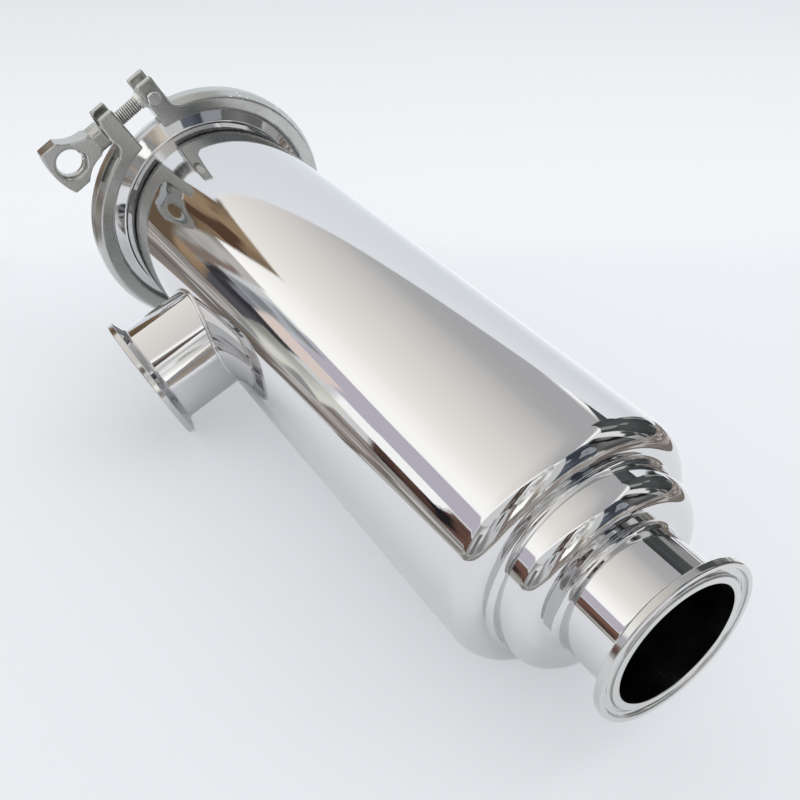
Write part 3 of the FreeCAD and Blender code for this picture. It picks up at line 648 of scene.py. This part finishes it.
def plain_mesh(source):
    """The source with its modifiers worked out, as a mesh of its own."""
    bpy.context.view_layer.update()
    graph = bpy.context.evaluated_depsgraph_get()
    return bpy.data.meshes.new_from_object(source.evaluated_get(graph))


def grown(name, base, tree, identifiers, values):
    """The tree's result on a base object, as a plain mesh piece."""
    modifier = base.modifiers.new(name, "NODES")
    modifier.node_group = tree
    for label, value in values.items():
        modifier[identifiers[label]] = value
    mesh = plain_mesh(base)
    base.modifiers.clear()
    bpy.data.objects.remove(base)
    return in_scene(name, mesh)


def path_object(name, points, cyclic):
    """A poly curve through points in the row frame."""
    data = bpy.data.curves.new(name, "CURVE")
    data.dimensions = "3D"
    spline = data.splines.new("POLY")
    spline.points.add(len(points) - 1)
    for point, place in zip(spline.points, points):
        point.co = (*place, 1)
    spline.use_cyclic_u = cyclic
    return in_scene(name, data)


sweep, sweep_ids, start, end = new_tree("round_sweep", {
    "Radius": "Float", "Sides": "Int", "Finish": "Material"})
section = node(sweep, "GeometryNodeCurvePrimitiveCircle", mode="RADIUS")
swept = node(sweep, "GeometryNodeCurveToMesh")
link_all(sweep, (start, "Radius", section, "Radius"), (start, "Sides", section, "Resolution"),
         (start, "Geometry", swept, "Curve"), (section, "Curve", swept, "Profile Curve"))
finish_tree(sweep, swept.outputs["Mesh"], start, end)

weld_lift, weld_radius, weld_points, weld_sides = 0.1, 0.95, 144, 12
saddle = []
for turn in np.linspace(0, 2 * math.pi, weld_points, endpoint=False):
    station = -branch_station + (port_tube + weld_lift) * math.cos(turn)
    height = (port_tube + weld_lift) * math.sin(turn)
    reach = math.sqrt((body_radius + weld_lift) ** 2 - height ** 2)
    saddle.append(strainer @ Vector((station, -reach, height)))
weld = grown("inlet_weld", path_object("saddle_path", saddle, True), sweep, sweep_ids,
             {"Radius": weld_radius / 1000, "Sides": weld_sides, "Finish": mirror_steel})
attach(weld, "housing")
print("weld", len(weld.data.polygons), "faces")

# %% [markdown]
# ## The blind cap
# The cap closes the clamped end. It has the same bevel as a ferrule, on a solid disc whose plain
# back is polished.

# %% End cap
cap_station, cap_width = -353.5, 6.35
boss = joint_rim - (cap_width - rim_width) / bevel
cap_joint = axes(strainer @ Vector((cap_station, 0, 0)), outward, -to_inlet)
end_cap = turned_piece("turned_end_cap", [
    (0, 0, 0, 1),
    *gasket_groove(joint_rim),
    (0, joint_rim, 0.35, 0),
    (-rim_width, joint_rim, 0.35, 0),
    (-cap_width, boss, 0.8, 0),
    (-cap_width, 0, 0, 0),
], (mirror_steel, inside_steel_painted_shade), cap_joint)
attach(end_cap, "housing")
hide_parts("end_cap")
print("end cap", len(end_cap.data.polygons), "faces")

# %% [markdown]
# ## Cast pieces
# Clamp halves and wing nut come out of a mould and a tumbling drum, which soften every edge. A
# copy of the CAD mesh is rebuilt as even small cells, laid back on the CAD surface and smoothed a
# little, so the edges turn round and catch the light, and the flats and the crown stay true.

# %% Clamp halves and wing nut
def cast_piece(replaced, body, cell, passes):
    """The source is rebuilt as cells, evened out and laid back on the mould, and then tumbled."""
    cad_mesh = frame["nodes"][replaced].data
    source, mould = [in_scene(role, cad_mesh.copy()) for role in ("cast_source", "cast_mould")]
    for copied in (source, mould):
        copied.modifiers.new("merge", "WELD").merge_threshold = 0.000005
    remesh = source.modifiers.new("cells", "REMESH")
    remesh.mode, remesh.voxel_size, remesh.use_smooth_shade = "VOXEL", cell, True
    relax = source.modifiers.new("even_out", "SMOOTH")
    relax.factor, relax.iterations = 0.5, 16
    settle = source.modifiers.new("settle", "SHRINKWRAP")
    settle.target, settle.wrap_method = mould, "NEAREST_SURFACEPOINT"
    soften = source.modifiers.new("tumble", "SMOOTH")
    soften.factor, soften.iterations = 0.5, passes
    mesh = plain_mesh(source)
    for copied in (source, mould):
        bpy.data.objects.remove(copied)
    mesh.materials.clear()
    mesh.materials.append(cast_steel)
    piece = in_scene("cast_" + replaced, mesh)
    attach(piece, body)
    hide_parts(replaced)
    print(piece.name, len(mesh.polygons), "faces")


clamp_cell, nut_cell, clamp_passes, nut_passes = 0.00042, 0.00030, 12, 8
cast_piece("clamp_half_nut", "housing", clamp_cell, clamp_passes)
cast_piece("clamp_half_pivot", "housing", clamp_cell, clamp_passes)
cast_piece("wing_nut", "nut", nut_cell, nut_passes)

# %% [markdown]
# ## The swing bolt and its thread
# The bolt's shank carries a metric thread. A helix is a curve that turns as it climbs, so a tree
# sweeps a small four-sided tooth along a spiral and lays it on the plain root. The eye and the
# shank are turned pieces.

# %% Swing bolt
bolt_radius, bolt_end, thread_start, thread_pitch = 4.0, 45.5, 7.5, 1.25
shank_foot, thread_depth, tooth_size = 4.5, 0.55, 0.56
eye_half, eye_bore, eye_radius = 4.35, 3.08, 6.0
shank_axes = axes(bolt.translation, shank_way, swing_way)
root = bolt_radius - thread_depth
# The root between the thread's teeth gets the finish that is painted dark as shade.
shank = turned_piece("bolt_shank", [
    (shank_foot, 0, 0, 0),
    (shank_foot, bolt_radius, 0.2, 0),
    (thread_start - 0.6, bolt_radius, 0.15, 0),
    (thread_start, root, 0.15, 1),
    (bolt_end - 0.8, root, 0.15, 0),
    (bolt_end, root - 0.6, 0.15, 0),
    (bolt_end, 0, 0, 0),
], (machined_steel, thread_root_painted_shade), shank_axes, around=64)
eye = turned_piece("bolt_eye", [
    (-eye_half, eye_bore, 0.25, 0),
    (-eye_half, eye_radius, 0.5, 0),
    (eye_half, eye_radius, 0.5, 0),
    (eye_half, eye_bore, 0.25, 0),
], (machined_steel,), axes(bolt.translation, swing_way, shank_way), around=96)

helix, helix_ids, start, end = new_tree("thread_helix", {
    "Turns": "Float", "Radius": "Float", "Climb": "Float",
    "Tooth": "Float", "Finish": "Material"})
spiral = node(helix, "GeometryNodeCurveSpiral", sockets={"Resolution": 40})
tooth = node(helix, "GeometryNodeCurvePrimitiveCircle", mode="RADIUS", sockets={"Resolution": 4})
flank = node(helix, "GeometryNodeCurveToMesh", sockets={"Fill Caps": True})
link_all(helix, (start, "Turns", spiral, "Rotations"), (start, "Climb", spiral, "Height"),
         (start, "Radius", spiral, "Start Radius"), (start, "Radius", spiral, "End Radius"),
         (start, "Tooth", tooth, "Radius"), (spiral, "Curve", flank, "Curve"),
         (tooth, "Curve", flank, "Profile Curve"))
finish_tree(helix, flank.outputs["Mesh"], start, end)

# The trees work in metres and the axes take millimetres.
from_metres = Matrix.Diagonal((1000, 1000, 1000, 1))
climb = bolt_end - 1.0 - thread_start
no_path = path_object("empty_path", [(0, 0, 0), (0, 0, 0.001)], False)
thread = grown("bolt_thread", no_path, helix, helix_ids, {
    "Turns": climb / thread_pitch, "Radius": (bolt_radius - tooth_size) / 1000,
    "Climb": climb / 1000, "Tooth": tooth_size / 1000, "Finish": machined_steel})
thread_foot = shank_axes.to_3x3().normalized() @ Vector((thread_start, 0, 0)) / 1000
upright = axes(bolt.translation + thread_foot, swing_way, shank_way.cross(swing_way))
thread.data.transform(upright @ from_metres)
for piece in (shank, eye, thread):
    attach(piece, "bolt")
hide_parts("swing_bolt")
print("thread", len(thread.data.polygons), "faces over", round(climb / thread_pitch, 1), "turns")

# %% [markdown]
# ## The pins
# The swing pin and the clamp's hinge pin are peened at both ends, which leaves a low domed head.

# %% Pins
def pin_piece(replaced, radius, head, centre):
    """A pin along the bolt's swing axis. Each head is a step out and a dome."""
    seat, top = 7.65, 9.05
    piece = turned_piece("peened_" + replaced, [
        (-top, 0, 0, 0),
        (-top, head - 0.7, 0.6, 0),
        (-seat, head, 0.35, 0),
        (-seat, radius, 0, 0),
        (seat, radius, 0, 0),
        (seat, head, 0.35, 0),
        (top, head - 0.7, 0.6, 0),
        (top, 0, 0, 0),
    ], (machined_steel,), axes(centre, swing_way, shank_way), around=64)
    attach(piece, "housing")
    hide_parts(replaced)


hinge_pin_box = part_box("hinge_pin")
pin_piece("swing_pin", 3.0, 3.8, bolt.translation)
pin_piece("hinge_pin", 2.0, 2.8, (hinge_pin_box[0] + hinge_pin_box[1]) / 2)
print("hinge pin at", [round(v, 3) for v in (hinge_pin_box[0] + hinge_pin_box[1]) / 2])

# %% [markdown]
# ## The wire mesh
# The screen is a slotted tube in a sleeve of woven wire. The weave is two sets of wavy wires that
# pass over and under each other: rings along the tube, and long wires round it. So a tree
# instances one wire, and every second copy is moved half a wave. The inlet's mouth gives a glimpse
# of it.

# %% Woven sleeve
sleeve_low, sleeve_high, sleeve_radius, wire = -328.0, -52.0, 31.85, 0.42
wires_round, wires_along = 64, 84
wire_turn, wire_pitch = 2 * math.pi / wires_round, (sleeve_high - sleeve_low) / wires_along
sway = wire * 0.45


def weave_piece(name, points, is_ring):
    """One wire and its copies: rings one pitch apart, or straight wires one step round apart."""
    tree, ids, start, end = new_tree(name + "_tree", {
        "Copies": "Int", "Wire": "Float", "Finish": "Material"})
    section = node(tree, "GeometryNodeCurvePrimitiveCircle", mode="RADIUS",
                   sockets={"Resolution": 4})
    swept = node(tree, "GeometryNodeCurveToMesh")
    places = node(tree, "GeometryNodePoints")
    index = node(tree, "GeometryNodeInputIndex").outputs[0]
    copier = node(tree, "GeometryNodeInstanceOnPoints")
    position, turn = (node(tree, "ShaderNodeCombineXYZ") for _ in range(2))
    odd = worked_out(tree, "MODULO", index, 2.0)
    slid, turned = (index, odd) if is_ring else (odd, index)
    first = sleeve_low + wire_pitch / 2 if is_ring else 0.0
    slide = worked_out(tree, "MULTIPLY", slid, wire_pitch / 1000)
    feed(position, "X", worked_out(tree, "ADD", slide, first / 1000))
    feed(turn, "X", worked_out(tree, "MULTIPLY", turned, wire_turn))
    link_all(tree, (start, "Wire", section, "Radius"), (start, "Geometry", swept, "Curve"),
             (section, "Curve", swept, "Profile Curve"), (start, "Copies", places, "Count"),
             (position, 0, places, "Position"), (turn, 0, copier, "Rotation"),
             (places, "Points", copier, "Points"), (swept, "Mesh", copier, "Instance"))
    finish_tree(tree, copier.outputs["Instances"], start, end)
    piece = grown(name, path_object(name + "_path", points, is_ring), tree, ids, {
        "Copies": wires_along if is_ring else wires_round, "Wire": wire / 2000,
        "Finish": screen_steel})
    piece.data.transform(strainer @ from_metres)
    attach(piece, "housing")
    print(name, len(piece.data.polygons), "faces")
    return piece


ring_points, line_points = [], []
for k in range(wires_round * 2):
    turn = wire_turn * k / 2
    radius = (sleeve_radius + sway * math.cos(math.pi * k / 2)) / 1000
    ring_points.append((0, radius * math.cos(turn), radius * math.sin(turn)))
for k in range(wires_along * 2 - 1):
    radius = sleeve_radius - sway * math.cos(math.pi * k / 2)
    line_points.append(((sleeve_low + wire_pitch * k / 2) / 1000, radius / 1000, 0))
weft = weave_piece("sleeve_weft", ring_points, True)
weave_piece("sleeve_warp", line_points, False)
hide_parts("mesh_sleeve")

# %% [markdown]
# ## The pieces that stay as CAD made them
# Screen tube, bands, seat ring, end plate, handle, gasket and seal keep their CAD meshes and only
# get their finish.

# %% Finishes of the CAD pieces
for finish, names in (
        (screen_steel, ("screen_tube", "outlet_band", "cap_band", "end_plate")),
        (machined_steel, ("seat_ring", "pull_handle")),
        (seal_rubber, ("cap_gasket", "seat_seal"))):
    for name in names:
        mesh = frame["nodes"][name].data
        mesh.materials.clear()
        mesh.materials.append(finish)
    print(finish.name, "on", names)

# %% [markdown]
# ## The table
# Polished steel has almost no colour of its own: it shows the room. So the room is built too. The
# table is a pale sheet that the camera sees everywhere. It glows a little of itself, as paper on a
# lit bench seems to, so that the shadows stay light, and less so in the steel, which mirrors the
# dark places under the strainer. It is a touch lighter where a paper backdrop would rise behind,
# and greyer far off.

# %% Table
middle = Vector((-0.18, 0.0, 0.02))
backdrop_way = Vector((0.531, 0.847, 0.0)).normalized()
backdrop_facing = Vector((backdrop_way.y, -backdrop_way.x, 0.0))
backdrop_foot = Vector((-0.354, 0.125, 0.0))
floor_height, table_half = cad_low.z - 0.0002, 6


def stage_piece(name, corners, materials, faces=None):
    """Stage geometry of one face, or of the faces given, with its materials."""
    mesh = bpy.data.meshes.new(name)
    mesh.from_pydata(corners, [], faces or [list(range(len(corners)))])
    for material in materials:
        mesh.materials.append(material)
    card = in_scene(name, mesh)
    return card


def along(tree, way, start):
    """The distance of a point from a start, along one direction."""
    place = node(tree, "ShaderNodeTexCoord")
    shift = node(tree, "ShaderNodeVectorMath", operation="SUBTRACT", sockets={1: start})
    measure = node(tree, "ShaderNodeVectorMath", operation="DOT_PRODUCT", sockets={1: way})
    link_all(tree, (place, "Object", shift, 0), (shift, 0, measure, 0))
    return measure.outputs["Value"]


paper_tone, mirrored_tone = (0.415, 0.425, 0.435), (0.94, 0.95, 0.97)
own_glow, mirrored_glow = 0.5, 0.15
paper, tree, shader = new_finish("pale_table", paper_tone, 0.0, 0.75)
mirrored = node(tree, "ShaderNodeLightPath").outputs["Is Glossy Ray"]
behind = along(tree, -backdrop_facing, backdrop_foot)
near_tone, lifted_tone, far_tone = (0.80, 0.825, 0.855), (0.90, 0.92, 0.945), (0.68, 0.70, 0.73)
lifted = blended(tree, rising(tree, behind, -0.015, 0.03), near_tone, lifted_tone)
faded = blended(tree, rising(tree, behind, 0.12, 0.8), lifted, far_tone)
feed(shader, "Base Color", blended(tree, mirrored, paper_tone, mirrored_tone))
feed(shader, "Emission Strength", ranged(tree, mirrored, own_glow, mirrored_glow, 0.0, 1.0))
feed(shader, "Emission Color", faded)
stage_piece("table", [(table_half * x, table_half * y, floor_height)
                      for x, y in ((-1, -1), (1, -1), (1, 1), (-1, 1))], [paper])
print("table at", round(floor_height, 4))

# %% [markdown]
# ## The room that the steel mirrors
# A white paper board stands close behind the strainer, and its straight top edge is the clean line
# along the body. Over it is a bright ceiling with a white rim, and round it a darker room. The
# cards glow by themselves, are seen only in the steel, and neither light the table nor shade it.

# %% Cards of the room
room_glow = 1.29


def glowing(name, colour):
    """A material that only glows, its tree and its Emission node."""
    material = bpy.data.materials.new(name)
    material.use_nodes = True
    tree = material.node_tree
    tree.nodes.clear()
    glow = node(tree, "ShaderNodeEmission", sockets={
        "Color": (*colour, 1), "Strength": room_glow})
    link_all(tree, (glow, 0, node(tree, "ShaderNodeOutputMaterial"), "Surface"))
    return material, tree, glow


def only_mirrored(card):
    card.visible_camera = card.visible_diffuse = card.visible_shadow = False


def direction(azimuth, elevation):
    a, e = math.radians(azimuth), math.radians(elevation)
    return Vector((math.cos(a) * math.cos(e), math.sin(a) * math.cos(e), math.sin(e)))


def cluttered(name, colour, accent, scale):
    """A tone broken up by patches of another, as shelves and tools would be."""
    material, tree, glow = glowing(name, colour)
    patches = noise_on(tree, scale, detail=2.0)
    accents = noise_on(tree, scale * 2.3, stretch=(1, 1, 0.5), detail=1.0)
    darker, lighter = (tuple(c * share for c in colour) for share in (0.55, 1.35))
    toned = blended(tree, rising(tree, patches, 0.42, 0.60), darker, lighter)
    feed(glow, "Color", blended(tree, rising(tree, accents, 0.56, 0.60), toned, accent))
    return material


def room_card(name, azimuths, elevations, distance, colour, lean, accent, scale=1.3):
    """A card that covers a range of directions from the middle. Lean slides its top edge round."""
    (a0, a1), (e0, e1) = azimuths, elevations
    corners = [middle + direction(a, e) * distance
               for a, e in ((a0, e0), (a1, e0), (a1 + lean, e1), (a0 + lean, e1))]
    plain = accent is None
    material = glowing(name, colour)[0] if plain else cluttered(name, colour, accent, scale)
    only_mirrored(stage_piece(name, corners, [material]))


print("tools for cards ready, glow", room_glow)

# %% [markdown]
# The board is a sheet of paper on its long edge. Its tone dips above the foot and rises again to
# the top edge, a band of painted shade across the sheet, so the steel shows a soft band and not a
# flat white.

# %% Backdrop board
board, tree, glow = glowing("paper_board", (0.8, 0.8, 0.8))
board_height = along(tree, Vector((0, 0, 1)), Vector((0, 0, floor_height)))
# The middle tone is painted shade, a darker band across the board.
foot_tone, board_shade_tone, top_tone = (0.80, 0.83, 0.87), (0.70, 0.735, 0.78), (0.84, 0.865, 0.90)
lower = blended(tree, rising(tree, board_height, 0.0, 0.10), foot_tone, board_shade_tone)
feed(glow, "Color", blended(tree, rising(tree, board_height, 0.10, 0.24), lower, top_tone))
left_side, right_side, left_top, right_top = -0.26, 0.27, 0.195, 0.205
corners = [backdrop_foot + backdrop_way * side + Vector((0, 0, height)) for side, height in (
    (left_side, floor_height), (right_side, floor_height),
    (right_side, right_top), (left_side, left_top))]
only_mirrored(stage_piece("backdrop_board", corners, [board]))
print("board from", [round(v, 3) for v in corners[0]])

# %% [markdown]
# The ceiling gives the body its broad light bands. Its tone climbs from grey to white along one
# direction, and its right and front edges have a white rim; both are painted light, as a room has
# by its windows.

# %% Ceiling
ceiling_height = 1.5
ceiling, tree, glow = glowing("lit_ceiling", (0.7, 0.7, 0.7))
over = middle + Vector((0, 0, ceiling_height))
right_edge, front_edge = 0.84 * ceiling_height, 0.79 * ceiling_height
left_edge, back_edge = -2.75 * ceiling_height, -2 * ceiling_height
bright_way = direction(-110, 0)
bright_start, bright_end = -0.5 * ceiling_height, 2.0 * ceiling_height
ramp = node(tree, "ShaderNodeValToRGB")
ramp.color_ramp.elements[0].color = (0.45, 0.45, 0.46, 1)
ramp.color_ramp.elements[1].color = (1.15, 1.14, 1.11, 1)
for stop, colour in ((0.10, (0.48, 0.48, 0.48)), (0.20, (0.63, 0.615, 0.60)),
                     (0.36, (0.81, 0.77, 0.735)), (0.62, (0.97, 0.94, 0.89)),
                     (0.78, (1.08, 1.06, 1.02))):
    ramp.color_ramp.elements.new(stop).color = (*colour, 1)
feed(ramp, "Fac", rising(tree, along(tree, bright_way, over), bright_start, bright_end))
right_rim, front_rim = (
    rising(tree, along(tree, way, over), edge * 0.80, edge * 0.95)
    for way, edge in ((backdrop_way, right_edge), (backdrop_facing, front_edge)))
rim = worked_out(tree, "MAXIMUM", right_rim, front_rim)
feed(glow, "Color", blended(tree, rim, ramp.outputs["Color"], (1.2, 1.2, 1.2)))
corners = [over + backdrop_way * a + backdrop_facing * b for a, b in (
    (left_edge, back_edge), (right_edge, back_edge),
    (right_edge, front_edge), (left_edge, front_edge))]
only_mirrored(stage_piece("ceiling", corners, [ceiling]))
print("ceiling", ceiling_height, "m up")

# %% [markdown]
# Walls, furniture and windows are cards that each cover some directions from the middle. A row
# gives a card's name, its azimuths and elevations in degrees, its distance in metres, its colour,
# the lean of its top edge in degrees, and the accent and scale of its clutter, if any.

# %% Walls, furniture and windows, as patches of tone
dark, deep_blue = (0.06, 0.065, 0.065), (0.085, 0.097, 0.125)
brown, tan = (0.14, 0.075, 0.06), (0.25, 0.175, 0.11)
lilac, pale, white = (0.54, 0.51, 0.58), (0.62, 0.63, 0.62), (1.1, 1.1, 1.1)
grey, black = (0.30, 0.30, 0.30), (0.015, 0.015, 0.018)
for card in (
    ("right_wall", (62, 122), (-4, 44), 1.60, dark, -3, grey),
    ("right_strip", (86, 89), (-2, 40), 1.55, pale, -3, None),
    ("right_door", (50, 62), (-4, 48), 1.58, pale, 2, dark),
    ("shelf", (30, 52), (-4, 46), 1.56, (0.15, 0.15, 0.15), -4, black),
    ("shelf_strip", (39, 41), (12, 42), 1.50, pale, -4, None),
    ("curtain", (8, 30), (-4, 48), 1.54, deep_blue, 5, (0.30, 0.32, 0.34), 1.6),
    ("lit_gap", (0, 9), (-4, 45), 1.56, pale, 3, None),
    ("low_shine", (3, 34), (-4, 14), 1.50, (0.72, 0.72, 0.70), 2, (0.20, 0.19, 0.18), 4.0),
    ("front_upper", (-34, 0), (18, 50), 1.60, (0.76, 0.76, 0.75), 0, (0.45, 0.42, 0.40), 3.0),
    ("front_beige", (-34, 0), (11, 18), 1.60, (0.80, 0.70, 0.60), 0, grey, 3.0),
    ("front_wall", (-34, 0), (-4, 11), 1.60, (0.30, 0.26, 0.22), 0, grey, 3.0),
    ("front_window", (-26, -10), (6, 26), 1.50, (0.9, 0.9, 0.88), 3, grey),
    ("cupboard", (-56, -32), (27, 50), 1.58, (0.10, 0.08, 0.07), 7, (0.30, 0.25, 0.22), 2.5),
    ("front_dark", (-34, -15), (-4, 28), 1.57, (0.17, 0.13, 0.12), -7, (0.40, 0.36, 0.34), 2.5),
    ("front_cloth", (-62, -30), (-4, 25), 1.56, (0.45, 0.45, 0.46), 0, dark),
    ("left_wall", (-98, -62), (-4, 20), 1.60, (0.60, 0.60, 0.60), 0, grey),
    ("left_frame", (-84, -72), (-4, 14), 1.50, (0.18, 0.18, 0.19), 2, None),
    ("left_screen", (-127, -103), (9.5, 20.5), 1.60, lilac, 0, None),
    ("left_shine", (-132, -120), (3, 9.5), 1.55, white, 0, None),
    ("left_wood", (-128, -95), (-4, 8), 1.60, brown, 0, black, 4.0),
    ("left_bag", (-143, -131), (-8, 4), 0.62, (0.56, 0.56, 0.51), 5, grey, 5.0),
    ("left_pane", (-142, -126), (9, 20), 1.55, lilac, 3, None),
    ("left_grey", (-146, -140), (6, 18), 1.45, (0.46, 0.48, 0.50), 4, (0.25, 0.26, 0.28), 4.0),
    ("left_blush", (-141, -133), (6, 12.5), 1.35, (0.82, 0.70, 0.645), 1, None),
    ("left_navy", (-149, -139), (-4, 9), 1.36, (0.07, 0.07, 0.08), 4, (0.24, 0.25, 0.28), 4.0),
    ("left_edge", (-153, -146), (2, 20), 1.34, (0.40, 0.385, 0.37), 2, (0.24, 0.19, 0.16), 4.0),
    ("left_tan", (-171, -148), (-16, 31), 1.30, tan, -3, (0.10, 0.055, 0.035), 4.0),
    ("left_box", (-152, -146.3), (-16, 3), 1.28, (0.27, 0.19, 0.125), 1, (0.20, 0.135, 0.085), 3.0),
):
    room_card(*card)
print("room cards ready")

# %% [markdown]
# Past the edge of the white paper lies a brown bench, which the steel's lower half mirrors. It is
# a strip of faces from the paper's outline outwards, lighter in front than at the sides.

# %% The table beyond the paper
paper_edge = (
    (-0.49, -0.09), (-0.404, -0.20), (-0.313, -0.245), (-0.266, -0.363), (-0.20, -0.52),
    (0.05, -0.55), (0.30, -0.35), (0.38, -0.12), (0.22, 0.03), (0.045, 0.165), (-0.108, 0.331),
    (-0.21, 0.354))
bench_lift, bench_reach, front_faces = 0.0004, 9, (2, 3, 4, 5)
inner = [Vector((x, y, floor_height + bench_lift)) for x, y in paper_edge]
outer = [Vector((middle.x + (p.x - middle.x) * bench_reach, p.y * bench_reach, p.z)) for p in inner]
count = len(inner)
bench = stage_piece("bench_beyond_paper", inner + outer, (
    cluttered("bench_beyond_paper", (0.28, 0.245, 0.22), (0.52, 0.51, 0.50), 5.0),
    cluttered("bench_in_front", (0.46, 0.45, 0.43), (0.22, 0.20, 0.18), 3.0)),
    [(k, k + 1, k + 1 + count, k + count) for k in range(count - 1)])
bench.data.polygons.foreach_set("material_index", [int(k in front_faces) for k in range(count - 1)])
only_mirrored(bench)
print("paper edge of", count, "points")

# %% [markdown]
# ## Light
# Soft light comes from all round, as in a white room, with one large lamp high up on the side away
# from the inlet for a gentle shadow. The steel doesn't mirror the lamp. The world shows a near
# white to the camera and the steel, and lights the table with one that is a little dimmer.

# %% World and lamp
world = bpy.data.worlds.new("white_room")
bpy.context.scene.world = world
world.use_nodes = True
tree = world.node_tree
tree.nodes.clear()
seen, lighting = (
    node(tree, "ShaderNodeBackground", sockets={"Color": colour, "Strength": strength})
    for colour, strength in (((0.90, 0.915, 0.93, 1), 1.0), ((0.97, 0.98, 1.0, 1), 0.92)))
rays = node(tree, "ShaderNodeLightPath").outputs
either = worked_out(tree, "MAXIMUM", rays["Is Camera Ray"], rays["Is Glossy Ray"])
any_ray = worked_out(tree, "MAXIMUM", either, rays["Is Transmission Ray"])
mix = node(tree, "ShaderNodeMixShader")
feed(mix, 0, any_ray)
link_all(tree, (lighting, 0, mix, 1), (seen, 0, mix, 2),
         (mix, 0, node(tree, "ShaderNodeOutputWorld"), 0))
bpy.context.scene.view_settings.view_transform = "Standard"

key_lamp = in_scene("key_lamp", bpy.data.lights.new("key_lamp", "AREA"))
key_lamp.data.shape, key_lamp.data.size, key_lamp.data.energy = "SQUARE", 0.9, 3.4
key_lamp.location = (0.2, 1.0, 1.2)
key_lamp.rotation_mode = "QUATERNION"
key_lamp.rotation_quaternion = (key_lamp.location - middle).to_track_quat("Z", "Y")
key_lamp.visible_glossy = False
print("lamp at", [round(v, 2) for v in key_lamp.location])
